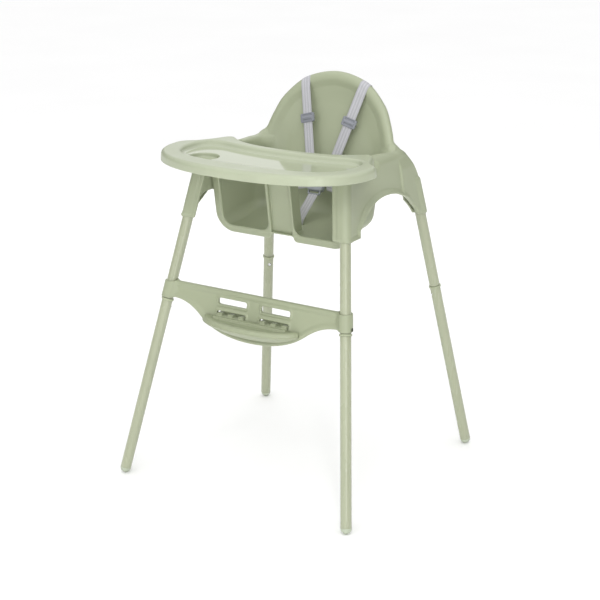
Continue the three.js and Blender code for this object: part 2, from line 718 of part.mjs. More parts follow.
// The half-moon step, hollow underneath, with toothed tongues that sit in the bar's lower slots.
function footrestShelf() {
  const moon = (shrink) => {
    const shape = new THREE.Shape();
    shape.moveTo(-SHELF.halfWidth + shrink, SHELF.rearY - shrink);
    shape.bezierCurveTo(-SHELF.halfWidth + shrink, SHELF.rearY - 34, -70, SHELF.frontY + shrink, 0,
      SHELF.frontY + shrink);
    shape.bezierCurveTo(70, SHELF.frontY + shrink, SHELF.halfWidth - shrink, SHELF.rearY - 34,
      SHELF.halfWidth - shrink, SHELF.rearY - shrink);
    return shape;
  };
  const plate = extrude(moon(0), SHELF.thick, plan(SHELF.top - SHELF.thick), 10);
  const under = extrude(moon(4), SHELF.thick, plan(SHELF.top - SHELF.thick - 4), 10);
  const apron = outline([
    [SHELF.rearY, SHELF.top - 2],
    [SHELF.rearY, 389],
    [SHELF.rearY - 6, 389],
    [SHELF.rearY - 40, SHELF.top - 6],
  ]);
  const skirt = extrude(apron, 180, side(-90), 1);
  const tongues = SIDES.flatMap(([, sign]) => {
    const { z, half } = SLOT_ROWS.lower;
    const low = z - half + 1;
    const rootX = sign * BAR.slotX;
    const reach = BAR.slotHalf - 3;
    const teeth = [-1, 0, 1].map((step) => {
      const x = rootX + step * (reach - 7);
      return block([x - 7, SHELF.rearY - 1, low], [x + 7, -186, low + 8]);
    });
    const floor = block([rootX - reach, SHELF.rearY - 1, low - 0.2], [rootX + reach, -190, low + 3]);
    return [...teeth, floor];
  });
  const root = block([-98, SHELF.rearY - 14, SHELF.top - 4], [98, SHELF.rearY, SHELF.top + 4]);
  const behind = extrude(roundedRect(-300, 300, 300, 500, 1), 60, barPlacing(-BAR.edge / 2 - GAP), 1);
  return join(cut(join(cut(plate, under), skirt, root), behind), ...tongues);
}

// ---- harness ----
// A ribbon bent in side view: centre-line points (y, z) thickened square to the run.
function ribbon(points, thick) {
  const left = [];
  const right = [];
  points.forEach(([y, z], i) => {
    const [py, pz] = points[Math.max(i - 1, 0)];
    const [ny, nz] = points[Math.min(i + 1, points.length - 1)];
    const run = Math.hypot(ny - py, nz - pz);
    const offset = [-(nz - pz) / run * thick / 2, (ny - py) / run * thick / 2];
    left.push([y + offset[0], z + offset[1]]);
    right.unshift([y - offset[0], z - offset[1]]);
  });
  return outline([...left, ...right]);
}

const STRAP = {
  x: 80.65,
  z: 903,
  slant: 0.27,
  top: 896,
  bottom: 702,
  bottomY: 87,
  backEnd: 863,
  clear: 4.4,
};
const strapX = (z) => STRAP.x + STRAP.slant * (z - STRAP.z);
const strapCrest = rimY(STRAP.z) + BACK.beadBehind;
const strapOver = BACK.bead + STRAP.clear;
const strapTopY = strapCrest - strapOver;
const strapY = (z) =>
  STRAP.bottomY + (z - STRAP.bottom) / (STRAP.top - STRAP.bottom) * (strapTopY - STRAP.bottomY);

function strapSide(sign, x, slant, refZ) {
  const width = vec(1, 0, -sign * slant).normalize();
  const corner = vec(sign * (x - slant * refZ), 0, 0).addScaledVector(width, -WEB.width / 2);
  return frame([0, 1, 0], [sign * slant, 0, 1], width.toArray(), corner.toArray());
}

// From the tongue up the front of the back, over the rim and down behind it.
function shoulderStrap(sign) {
  const bend = [];
  const steps = 6;
  for (let i = 0; i <= steps; i += 1) {
    const angle = Math.PI - (i / steps) * Math.PI;
    bend.push([strapCrest + strapOver * Math.cos(angle), STRAP.top + strapOver * Math.sin(angle)]);
  }
  const run = [[strapY(STRAP.bottom), STRAP.bottom], ...bend, [strapCrest + strapOver - 2, STRAP.backEnd]];
  const placing = strapSide(sign, STRAP.x, STRAP.slant, STRAP.z);
  return extrude(ribbon(run, WEB.thick), WEB.width, placing, 1);
}

// A flat loop that the webbing runs through.
function webLoop(width, height, depth, opening) {
  const body = roundedRect(-width / 2, -height / 2, width / 2, height / 2, 3);
  const slab = new THREE.ExtrudeGeometry(body, { depth, bevelEnabled: false, curveSegments: 3 });
  slab.translate(0, 0, -depth / 2);
  const mouth = new THREE.BoxGeometry(WEB.width + 2.4, height + 2, opening);
  return { slab, mouth };
}

function shoulderAdjuster(sign) {
  const z = 816;
  const rise = (strapTopY - STRAP.bottomY) / (STRAP.top - STRAP.bottom);
  const along = vec(sign * STRAP.slant, rise, 1).normalize();
  const across = vec(1, 0, -sign * STRAP.slant).normalize();
  const placing = new THREE.Matrix4()
    .makeBasis(across, along, across.clone().cross(along))
    .setPosition(sign * strapX(z), strapY(z), z);
  const { slab, mouth } = webLoop(37, 22, 6.4, 3.4);
  return cut(solid(slab, placing), solid(mouth, placing));
}

// low and high are the ends of its middle line in the (y, z) plane
const BUCKLE = { low: [62, 657], high: [84, 690], width: 44, thick: 15, button: 9, travel: 3 };
const buckleRun = new THREE.Vector2(BUCKLE.high[0] - BUCKLE.low[0], BUCKLE.high[1] - BUCKLE.low[1]);
const buckleUp = vec(0, buckleRun.x, buckleRun.y).normalize();
const buckleOut = vec(0, -buckleUp.z, buckleUp.y);
const bucklePlacing = new THREE.Matrix4()
  .makeBasis(vec(1, 0, 0), buckleUp, vec(1, 0, 0).cross(buckleUp))
  .setPosition(0, (BUCKLE.low[0] + BUCKLE.high[0]) / 2, (BUCKLE.low[1] + BUCKLE.high[1]) / 2);
const buckleHeight = buckleRun.length();
const buckleFace = BUCKLE.thick / 2;

// Boxes in the buckle's own frame: x across, y along the strap, z out of the front (+) or back.
function buckleBox(low, high) {
  const size = high.map((value, i) => value - low[i]);
  const middle = high.map((value, i) => (value + low[i]) / 2);
  const local = new THREE.Matrix4().setPosition(...middle);
  return solid(new THREE.BoxGeometry(...size), bucklePlacing.clone().multiply(local));
}

const TONGUE = { x: 17, width: 9, length: 14, thick: 3 };

function buckleBody() {
  const half = BUCKLE.width / 2;
  const tall = buckleHeight / 2;
  const shape = roundedRect(-half, -tall, half, tall, 7);
  const slab = new THREE.ExtrudeGeometry(shape, {
    depth: BUCKLE.thick,
    bevelEnabled: false,
    curveSegments: 4,
  });
  slab.translate(0, 0, -BUCKLE.thick / 2);
  const loop = cut(
    buckleBox([-17, -tall - 9, -3], [17, -tall + 2, 3]),
    buckleBox([-13.4, -tall - 5.6, -4], [13.4, -tall + 0.4, 4]),
  );
  const centre = vec(0, 0, 0).applyMatrix4(bucklePlacing);
  const well = rod(
    centre.clone().addScaledVector(buckleOut, buckleFace - 8),
    centre.clone().addScaledVector(buckleOut, buckleFace + 5),
    BUCKLE.button + GAP,
    20,
  );
  const mouths = SIDES.flatMap(([, sign]) => {
    const x = sign * TONGUE.x;
    const w = TONGUE.width / 2 + GAP;
    const t = TONGUE.thick / 2 + GAP;
    const top = buckleBox([x - w, tall - TONGUE.length, -t], [x + w, tall + 1, t]);
    const [from, to] = sign > 0 ? [half - 6, half + 1] : [-half - 1, 6 - half];
    const wing = buckleBox([from, -6, -t], [to, 6, t]);
    return [top, wing];
  });
  return cut(join(solid(slab, bucklePlacing), loop), well, ...mouths);
}

function buckleButton() {
  const centre = vec(0, 0, 0).applyMatrix4(bucklePlacing);
  const low = buckleFace - 8 + BUCKLE.travel + GAP;
  const profile = [
    [0, low],
    [BUCKLE.button, low],
    [BUCKLE.button, buckleFace + 0.6],
    [BUCKLE.button - 1, buckleFace + 1.6],
    [BUCKLE.button * 0.5, buckleFace + 2.1],
    [0, buckleFace + 2.2],
  ];
  return turned(profile, onAxis(centre, buckleOut), 20);
}

// The tongue that joins a shoulder strap and a waist strap to the buckle.
function buckleTongue(sign) {
  const tall = buckleHeight / 2;
  const x = sign * TONGUE.x;
  const half = TONGUE.thick / 2;
  const blade = buckleBox(
    [x - TONGUE.width / 2, tall - TONGUE.length + GAP, -half],
    [x + TONGUE.width / 2, tall + 5, half],
  );
  const middle = sign * strapX(STRAP.bottom);
  const bar = buckleBox([middle - 15.5, tall + 4, -2.6], [middle + 15.5, tall + 8.4, 2.6]);
  return join(blade, bar);
}

// A waist strap: it leaves the back's slot and runs forward and in to the buckle's side.
const WAIST = { innerX: 25.5, innerY: 74, innerZ: 672, outerY: 116 };

function waistStrap(sign) {
  const slope = (WAIST.innerZ - WAIST_SLOT.z) / (WAIST_SLOT.x - WAIST.innerX);
  const slotX = WAIST_SLOT.x;
  const run = [[WAIST.innerX, WAIST.innerY], [slotX - 14, 85], [slotX - 3, 92], [slotX, 100],
    [slotX, WAIST.outerY]];
  const origin = [0, 0, WAIST_SLOT.z + slope * WAIST_SLOT.x - WEB.width / 2];
  const placing = frame([sign, 0, -slope], [0, 1, 0], [0, 0, 1], origin);
  return extrude(ribbon(run, WEB.thick), WEB.width, placing, 1);
}

// Doubled webbing from under the seat up to the buckle's loop.
function crotchStrap() {
  const end = 3.4;
  const top = [BUCKLE.low[0] - 3 - end, BUCKLE.low[1] - 4 - end * 1.2];
  const run = [[CROTCH_SLOT.y, 583.4], [CROTCH_SLOT.y, 598], [CROTCH_SLOT.y + 6, 604], top];
  return extrude(ribbon(run, WEB.thick * 2 + 0.4), WEB.width, strapSide(1, 0, 0, 0), 1);
}

// A plate with a slot, which stops a strap's end from pulling through the shell.
function shoulderAnchor(sign) {
  const z = STRAP.backEnd - 6;
  const y = strapCrest + strapOver - 2;
  const x = sign * strapX(z);
  return block([x - 16, y - 2.6, z - 14], [x + 16, y + 2.6, z + 1]);
}

function waistAnchor(sign) {
  const x = sign * WAIST_SLOT.x;
  const y = WAIST.outerY + GAP;
  return block([x - 7, y, WAIST_SLOT.z - 17], [x + 7, y + 4, WAIST_SLOT.z + 17]);
}

// ---- assembly ----
piece('seat_shell', seatShell(), LOOK.shell);
CORNERS.forEach(([name, end, sign]) => addLeg(name, end, sign));
piece('tray', trayBody(), LOOK.tray);
piece('footrest_bar', footrestBar(), LOOK.footrest);
piece('footrest_shelf', footrestShelf(), LOOK.footrest);
SIDES.forEach(([name, sign]) => {
  piece(`shoulder_strap_${name}`, shoulderStrap(sign), LOOK.webbing);
  piece(`shoulder_adjuster_${name}`, shoulderAdjuster(sign), LOOK.buckle);
  piece(`shoulder_anchor_${name}`, shoulderAnchor(sign), LOOK.black);
  piece(`buckle_tongue_${name}`, buckleTongue(sign), LOOK.buckle);
  piece(`waist_strap_${name}`, waistStrap(sign), LOOK.webbing);
  piece(`waist_anchor_${name}`, waistAnchor(sign), LOOK.black);
});
piece('crotch_strap', crotchStrap(), LOOK.webbing);
piece('crotch_retainer', block([-17, -54, 577.5], [17, -4, 583]), LOOK.black);
piece('buckle_body', buckleBody(), LOOK.buckle);
piece('buckle_button', buckleButton(), LOOK.buckle);

export default chair;
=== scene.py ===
"""A child's high chair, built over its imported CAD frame. Lengths in the shape code are millimetres."""
import functools
import json
import math

import bmesh
import bpy
import numpy as np
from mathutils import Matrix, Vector


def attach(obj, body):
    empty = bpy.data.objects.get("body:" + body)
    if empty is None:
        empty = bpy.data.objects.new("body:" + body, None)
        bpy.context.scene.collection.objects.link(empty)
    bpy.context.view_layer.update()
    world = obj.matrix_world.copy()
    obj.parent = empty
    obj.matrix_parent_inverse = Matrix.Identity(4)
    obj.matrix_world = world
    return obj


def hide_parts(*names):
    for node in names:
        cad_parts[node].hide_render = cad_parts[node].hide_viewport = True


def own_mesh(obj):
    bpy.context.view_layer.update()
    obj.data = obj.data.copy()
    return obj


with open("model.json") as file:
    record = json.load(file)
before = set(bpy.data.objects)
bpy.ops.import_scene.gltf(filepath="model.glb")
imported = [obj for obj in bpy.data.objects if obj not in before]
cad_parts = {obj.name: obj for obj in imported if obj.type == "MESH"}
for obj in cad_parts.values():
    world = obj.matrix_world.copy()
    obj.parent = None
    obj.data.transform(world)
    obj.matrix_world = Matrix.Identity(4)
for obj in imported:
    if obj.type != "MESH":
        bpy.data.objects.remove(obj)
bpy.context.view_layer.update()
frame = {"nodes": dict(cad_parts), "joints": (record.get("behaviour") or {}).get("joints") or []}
MM = 0.001
CORNERS = [(end, side) for end in ("front", "rear") for side in ("right", "left")]
SIDES = (("right", 1), ("left", -1))

# ---- dimensions shared with the frame, in millimetres ----
LEGS = {
    "front": dict(
        foot=(307.1, -297.6, 12.0), top=(190.0, -117.6, 757.0), socket=616.0, tube=742.0, faces=(0, 1, 0)
    ),
    "rear": dict(
        foot=(300.0, 297.6, 12.0), top=(190.5, 166.0, 757.0), socket=609.0, tube=686.0, faces=(0, -1, 0)
    ),
}
TUBE_R = 12.5
BORE_R = 12.95
JOINT_Z = 423.0
SEAT_Z = 570.0
WAIST_X, WAIST_Z = 84.0, 655.0
CROTCH_Y = -10.0
SILL_Z = 773.0
RECLINE = 0.2745
RECLINE_COS = 1 / math.hypot(1, RECLINE)
ARM_LEAN = -0.157
ARM_OUTER = 227.4
ARM_REF = 615.0
BAR_LEAN = 0.2416
BAR_COS = 1 / math.hypot(1, BAR_LEAN)


# ---- distance fields ----
def rmax(a, b, r):
    """Intersection whose edge is rounded to radius r."""
    u = np.maximum(a + r, 0)
    v = np.maximum(b + r, 0)
    return np.minimum(-r, np.maximum(a, b)) + np.sqrt(u * u + v * v)


def rmin(a, b, r):
    """Union whose inside corner is filled to radius r."""
    return -rmax(-a, -b, r)


def rcut(a, b, r):
    """a without b, with the cut's edge rounded to radius r."""
    return rmax(a, -b, r)


def both(*fields):
    return functools.reduce(np.maximum, fields)


def either(a, b):
    return np.minimum(a, b)


def ramp(a, b, t):
    s = np.clip((t - a) / (b - a), 0, 1)
    return s * s * (3 - 2 * s)


def box2(u, v, hu, hv, r=0.0):
    """Distance to a rectangle with rounded corners in a plane."""
    a = np.abs(u) - (hu - r)
    b = np.abs(v) - (hv - r)
    return np.hypot(np.maximum(a, 0), np.maximum(b, 0)) + np.minimum(np.maximum(a, b), 0) - r


def slab(t, low, high):
    return np.maximum(low - t, t - high)


def bezier(*points, steps=14):
    """Points along a quadratic or cubic curve, without its first point."""
    out = []
    for i in range(1, steps + 1):
        level = [np.array(p, float) for p in points]
        t = i / steps
        while len(level) > 1:
            level = [a * (1 - t) + b * t for a, b in zip(level, level[1:])]
        out.append(tuple(level[0]))
    return out


def spline(points, count):
    """count + 1 points at even spacing along a smooth curve through the points."""
    pts = np.array(points, float)
    ghost = np.vstack([2 * pts[0] - pts[1], pts, 2 * pts[-1] - pts[-2]])
    dense = []
    for i in range(len(pts) - 1):
        p0, p1, p2, p3 = ghost[i : i + 4]
        for t in np.linspace(0, 1, 24, endpoint=False):
            dense.append(0.5 * (2 * p1 + (p2 - p0) * t + (2 * p0 - 5 * p1 + 4 * p2 - p3) * t * t
                                + (3 * p1 - p0 - 3 * p2 + p3) * t ** 3))
    dense.append(pts[-1])
    dense = np.array(dense)
    run = np.concatenate([[0], np.cumsum(np.linalg.norm(np.diff(dense, axis=0), axis=1))])
    want = np.linspace(0, run[-1], count + 1)
    return np.stack([np.interp(want, run, dense[:, k]) for k in range(dense.shape[1])], 1)


FAR = 1e12


class Outline:
    """The signed distance to a flat outline, or the distance to an open line, kept on a fine grid."""

    def __init__(self, points, pitch=2.0, pad=60.0, closed=True):
        pts = np.array(points, float)
        self.pitch = pitch
        self.low = pts.min(0) - pad
        high = pts.max(0) + pad
        self.count = np.ceil((high - self.low) / pitch).astype(int) + 1
        u = self.low[0] + pitch * np.arange(self.count[0])
        v = self.low[1] + pitch * np.arange(self.count[1])
        U, V = np.meshgrid(u, v, indexing="ij")
        best = np.full(U.shape, FAR)
        inside = np.zeros(U.shape, bool)
        ends = np.roll(pts, -1, axis=0) if closed else pts[1:]
        for (ax, ay), (bx, by) in zip(pts, ends):
            dx, dy = bx - ax, by - ay
            if dx * dx + dy * dy < 1e-12:
                continue
            t = np.clip(((U - ax) * dx + (V - ay) * dy) / (dx * dx + dy * dy), 0, 1)
            best = np.minimum(best, (U - ax - t * dx) ** 2 + (V - ay - t * dy) ** 2)
            if closed and ay != by:
                inside ^= ((ay > V) != (by > V)) & (U < (bx - ax) * (V - ay) / (by - ay) + ax)
        self.grid = (np.sqrt(best) * np.where(inside, -1, 1)).astype(np.float32)

    def __call__(self, u, v):
        fu = np.clip((u - self.low[0]) / self.pitch, 0, self.count[0] - 1.001)
        fv = np.clip((v - self.low[1]) / self.pitch, 0, self.count[1] - 1.001)
        i = fu.astype(np.int32)
        j = fv.astype(np.int32)
        a = (fu - i).astype(np.float32)
        b = (fv - j).astype(np.float32)
        g = self.grid
        low = g[i, j] * (1 - a) + g[i + 1, j] * a
        high = g[i, j + 1] * (1 - a) + g[i + 1, j + 1] * a
        return low * (1 - b) + high * b


def leg_axis(end, sign=1):
    foot, top = (np.array(LEGS[end][k], float) * (sign, 1, 1) for k in ("foot", "top"))
    direction = (top - foot) / np.linalg.norm(top - foot)
    return foot, direction


def leg_at(end, z, sign=1):
    foot, direction = leg_axis(end, sign)
    return foot + direction * ((z - foot[2]) / direction[2])


def leg_offsets(end, x, y, z):
    """How far a point is across the leg's axis in X and in Y, at its own height."""
    foot, d = leg_axis(end)
    t = (z - foot[2]) / d[2]
    return x - (foot[0] + t * d[0]), y - (foot[1] + t * d[1])


# ---- surface meshing ----
BLOCK = 4
INSIDE, OUTSIDE = -9.0, 9.0
EDGES = [(a, b) for a in range(8) for b in range(a + 1, 8) if bin(a ^ b).count("1") == 1]
CORNER = np.array([[(c >> 2) & 1, (c >> 1) & 1, c & 1] for c in range(8)])


def in_parts(field, points, part=400_000):
    return np.concatenate([field(points[i : i + part]) for i in range(0, len(points), part)])


def slope_of(field, p, probe):
    """A field, its gradient and the gradient's squared length, at least a quarter."""
    f = in_parts(field, p.astype(np.float32))[:, None]
    g = np.stack([in_parts(field, (p + probe * e).astype(np.float32)) for e in np.eye(3)], 1)
    g = (g - f) / probe
    return f, g, np.maximum((g * g).sum(1, keepdims=True), 0.25)


def net(field, low, high, step, mirror=False, settle=2):
    """A closed quad mesh of the surface where field is zero. mirror builds x >= 0 and its reflection."""
    low, high = np.array(low, float), np.array(high, float)
    if mirror:
        low[0] = -step / 2
    blocks = np.ceil((high - low) / (step * BLOCK)).astype(int)
    size = blocks * BLOCK + 1
    values = np.full(size, OUTSIDE, np.float32)
    centre = np.stack(np.meshgrid(*[np.arange(n) for n in blocks], indexing="ij"), -1).reshape(-1, 3)
    middle = low + (centre + 0.5) * BLOCK * step
    reach = BLOCK * step * 0.87 * 1.25 + 1.0
    near_values = in_parts(field, middle.astype(np.float32))
    inner = centre[near_values < -reach]
    active = centre[np.abs(near_values) <= reach]
    local = np.stack(np.meshgrid(*[np.arange(BLOCK + 1)] * 3, indexing="ij"), -1).reshape(-1, 3)
    for a in inner * BLOCK:
        b = a + BLOCK + 1
        values[a[0] : b[0], a[1] : b[1], a[2] : b[2]] = INSIDE
    index = (active[:, None, :] * BLOCK + local[None]).reshape(-1, 3)
    flat = np.unique(np.ravel_multi_index(index.T, size))
    index = np.stack(np.unravel_index(flat, size), -1)
    values.reshape(-1)[flat] = in_parts(field, (low + index * step).astype(np.float32))

    sign = values < 0
    cells = np.zeros(size - 1, np.int8)
    for c in CORNER:
        cells += sign[c[0] : size[0] - 1 + c[0], c[1] : size[1] - 1 + c[1], c[2] : size[2] - 1 + c[2]]
    cell = np.argwhere((cells > 0) & (cells < 8))
    corner_value = np.stack([values[tuple((cell + c).T)] for c in CORNER], 1)
    total = np.zeros((len(cell), 3))
    count = np.zeros(len(cell))
    for a, b in EDGES:
        va, vb = corner_value[:, a], corner_value[:, b]
        cross = (va < 0) != (vb < 0)
        t = np.where(cross, va / np.where(cross, va - vb, 1), 0)
        total += np.where(cross[:, None], CORNER[a] + t[:, None] * (CORNER[b] - CORNER[a]), 0)
        count += cross
    points = low + (cell + total / count[:, None]) * step
    name = np.full(size - 1, -1, np.int64)
    name[tuple(cell.T)] = np.arange(len(cell))

    quads = []
    for axis in range(3):
        u, v = (axis + 1) % 3, (axis + 2) % 3
        shift = np.zeros(3, int)
        shift[axis] = 1
        a = sign[: size[0] - shift[0], : size[1] - shift[1], : size[2] - shift[2]]
        b = sign[shift[0] :, shift[1] :, shift[2] :]
        edge = np.argwhere(a != b)
        limit = size - 1
        keep = (edge[:, u] > 0) & (edge[:, v] > 0) & (edge[:, u] < limit[u]) & (edge[:, v] < limit[v])
        edge = edge[keep]
        flip = a[tuple(edge.T)]
        du, dv = np.zeros(3, int), np.zeros(3, int)
        du[u], dv[v] = 1, 1
        quad = np.stack([name[tuple((edge - s).T)] for s in (du + dv, dv, 0 * du, du)], 1)
        quad[~flip] = quad[~flip][:, ::-1]
        quads.append(quad)
    quads = np.concatenate(quads)
    on_plane = (cell[:, 0] == 0) if mirror else np.zeros(len(cell), bool)

    def settle_down(p, rounds):
        for _ in range(rounds):
            f, g, steep = slope_of(field, p, 0.15)
            move = f * g / steep
            length = np.linalg.norm(move, axis=1, keepdims=True)
            move *= np.minimum(1, 0.6 * step / np.maximum(length, 1e-9))
            p = p - move
            p[on_plane, 0] = 0
        return p

    points[on_plane, 0] = 0
    points = settle_down(points, 1)
    for _ in range(settle):
        total = np.zeros_like(points)
        count = np.zeros(len(points))
        for k in range(4):
            here, there = quads[:, k], quads[:, (k + 1) % 4]
            for a, b in ((here, there), (there, here)):
                for axis in range(3):
                    total[:, axis] += np.bincount(a, points[b, axis], len(points))
                count += np.bincount(a, minlength=len(points))
        mean = total / np.maximum(count, 1)[:, None]
        points = settle_down(points * 0.5 + mean * 0.5, 1)
    if mirror:
        other = np.where(on_plane, np.arange(len(points)), len(points) + np.cumsum(~on_plane) - 1)
        points = np.vstack([points, points[~on_plane] * (-1, 1, 1)])
        quads = np.vstack([quads, other[quads][:, ::-1]])
    return points, quads


def new_object(name, data):
    ob = bpy.data.objects.new(name, data)
    bpy.context.scene.collection.objects.link(ob)
    return ob


def mesh_object(name, points, faces, material, smooth=True):
    """A mesh from points in millimetres."""
    mesh = bpy.data.meshes.new(name)
    points = np.asarray(points, float) * MM
    if isinstance(faces, np.ndarray):
        mesh.vertices.add(len(points))
        mesh.vertices.foreach_set("co", points.astype(np.float32).ravel())
        mesh.loops.add(faces.size)
        mesh.loops.foreach_set("vertex_index", faces.astype(np.int32).ravel())
        mesh.polygons.add(len(faces))
        mesh.polygons.foreach_set("loop_start", np.arange(0, faces.size, faces.shape[1], dtype=np.int32))
    else:
        mesh.from_pydata([tuple(p) for p in points], [], faces)
    mesh.update(calc_edges=True)
    mesh.validate()
    mesh.polygons.foreach_set("use_smooth", np.full(len(mesh.polygons), smooth))
    mesh.materials.append(material)
    return new_object(name, mesh)


def place(ob, node, body="chair"):
    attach(ob, body)
    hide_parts(node)


# ---- seat shell ----
def rim_y(z):
    """Y of the back's rim at a height."""
    return 120.0 + RECLINE * (z - SILL_Z)


def both_sides(points):
    """Points from one side to the middle, and on along their mirror image."""
    return points + [(-u, v) for u, v in points[-2::-1]]


BEAD_INSET = 9.0
crown = spline(both_sides([(174, 773), (157, 818), (133, 860), (79, 905), (0, 923)]), 64)
tangent = np.gradient(crown, axis=0)
tangent /= np.linalg.norm(tangent, axis=1, keepdims=True)
bead_line = crown + BEAD_INSET * np.stack([-tangent[:, 1], tangent[:, 0]], 1)
back_outline = Outline([(240, 773), (240, 480), (-240, 480), (-240, 773)] + [tuple(p) for p in crown[::-1]])
bead_outline = Outline(
    [(172, 700), (169, 745)] + [tuple(p) for p in bead_line] + [(-169, 745), (-172, 700)], closed=False
)

arm_outline = Outline(
    [(-181.0, 560), (-134.5, 754), (4, 754), (8, 770), (112, 770)]
    + bezier((112, 770), (157, 771), (174, 727))
    + bezier((174, 727), (190, 690), (206, 600))
    + [(208, 560)],
    pad=90.0,
)
arch_outline = Outline(
    [(-320, 480), (-320, 616), (-112, 616), (-109, 632)]
    + bezier((-109, 632), (-82, 646), (-58, 682), (10, 684))
    + bezier((10, 684), (74, 686), (136, 660), (170, 609))
    + [(320, 609), (320, 480)],
    pad=120.0,
)


def leg_openings(x, u):
    """The rim round a leg opening and the opening, in the front plane where u is the height above it."""
    outer = box2(x - 106.0, u - 110.0, 75.0, 110.0, 46.0)
    square = box2(x - 70.0, u - 110.0, 39.0, 110.0, 10.0)
    rim = either(outer, square)
    window = box2(x - 98.5, u - 125.0, 63.5, 107.0, 22.0)
    return rim, window


BUCKET_WALL = 4.0
ARM_WALL = 3.6


def bucket_hollow(x, y, z):
    """The inside of the bucket, which turns into the dished back higher up."""
    rim = rim_y(z)
    back = (y - rim - 11.5) * RECLINE_COS
    floor = (594.0 + 0.1 * (y + 10.0) - z) * 0.995
    bucket = rmax(rmax(x - 162.0, back, 50.0), floor, 26.0 - 5.0 * ramp(-60.0, 30.0, y))
    dish = (y - rim + 1.0 - 12.5 * ramp(2.0, 74.0, -back_outline(x, z))) * RECLINE_COS
    dish = np.maximum(dish, -25.0)
    t = ramp(742.0, 796.0, z) * ramp(5.0, 104.0, y)
    return bucket * (1 - t) + dish * t


def bucket_wall(x, y, z, hollow, front):
    """The thin wall round the hollow, with the rolled edge of the back."""
    rim = rim_y(z)
    shell = rmax(rmax(-hollow, hollow - BUCKET_WALL, 1.6), front, 1.0)
    shell = rmax(shell, either(z - 753.0, (rim - y) * RECLINE_COS), 2.0)
    shell = rmax(shell, back_outline(x, z) + 3.0, 2.0)
    bead = np.hypot(bead_outline(x, z), (y - rim - 5.0) * RECLINE_COS) - 9.6
    return rmin(shell, both(bead, 735.0 - z), 14.0)


def arm_skin(x, y, z, hollow):
    """One arm: a hollow moulding, open underneath, with its side arched between the legs."""
    outline = arm_outline(y, z)
    arch = arch_outline(y, z)
    pod = ramp(104.0, 109.0, y) * (1 - ramp(722.0, 752.0, z))
    inset = 7.5 * ramp(-150.0, -60.0, y) * (1 - pod) + 3.0 * pod
    flare = (inset + 2.5) * (1 - ramp(1.0, 12.0, arch)) * (1 - ramp(96.0, 150.0, y))
    side = (x - (ARM_OUTER - inset + flare + ARM_LEAN * (z - ARM_REF))) * 0.988
    inner_x = 184.0 + ARM_LEAN * (z - ARM_REF)
    high = ramp(742.0, 752.0, z)
    middle = ramp(-96.0, -80.0, y) * (1 - ramp(84.0, 100.0, y) * (1 - high))
    inner_top = both(-hollow, 145.0 + 18.0 * ramp(112.0, 128.0, y) - x)
    inner = (inner_x - x) * 0.985 * (1 - middle) + inner_top * middle
    corner = 14.0 - 9.0 * ramp(-120.0, -100.0, y)
    corner = corner + 16.0 * ramp(-90.0, 20.0, y) * ramp(700.0, 750.0, z) * (1 - 0.4 * ramp(90.0, 140.0, y))
    arm = rmax(rmax(side, outline, corner), inner, 3.0 + 7.0 * middle * high)
    dx, dy = leg_offsets("front", x, y, z)
    recess = both(dx + 13.0, dy - 55.0, z - 745.0)
    arm = rcut(rcut(arm, arch, 3.0), recess, 3.0)
    skin = rmax(arm, -(arm + ARM_WALL), 0.4)
    under = both(arch - 5.5, side + 11.0)
    web = both(x - inner_x - 5.5, np.where(y < 60.0, z - 667.0, z - 690.0))
    web = either(web, both(dx - 4.0, z - 667.0, 4.0 - dy, y - 60.0))
    lane = both(x - 185.0, z - 750.0, np.abs(y) - np.where(y > 0.0, 116.0, 96.0), 150.0 - x)
    skin = rcut(rcut(rcut(skin, under, 0.8), web, 1.5), lane, 0.8)

    # a squared sleeve round the front leg, with a thin flange inside it
    sleeve = rmax(np.hypot(dx, dy) - 14.9, slab(z, 615.0, 749.5), 1.6)
    flange = rmax(box2(dx + 16.5, dy + 11.2, 9.0, 3.0, 1.5), slab(z, 616.0, 749.5), 2.0)
    skin = rmin(skin, rmin(sleeve, flange, 2.0), 3.0)

    # a sleeve round the rear leg, and the fin in front of it
    dx, dy = leg_offsets("rear", x, y, z)
    rear = rmax(np.hypot(dx, dy) - 15.9, slab(z, 606.0, 693.0), 3.5)
    fin = rmax(both(np.abs(dx + 8.0) - 1.8, slab(dy, -50.0, -6.0)), both(-arch, z - 715.0), 1.2)
    return either(rmin(skin, rear, 5.0), fin)


def leg_bore(end, x, y, z, top):
    return both(np.hypot(*leg_offsets(end, x, y, z)) - BORE_R, z - top)


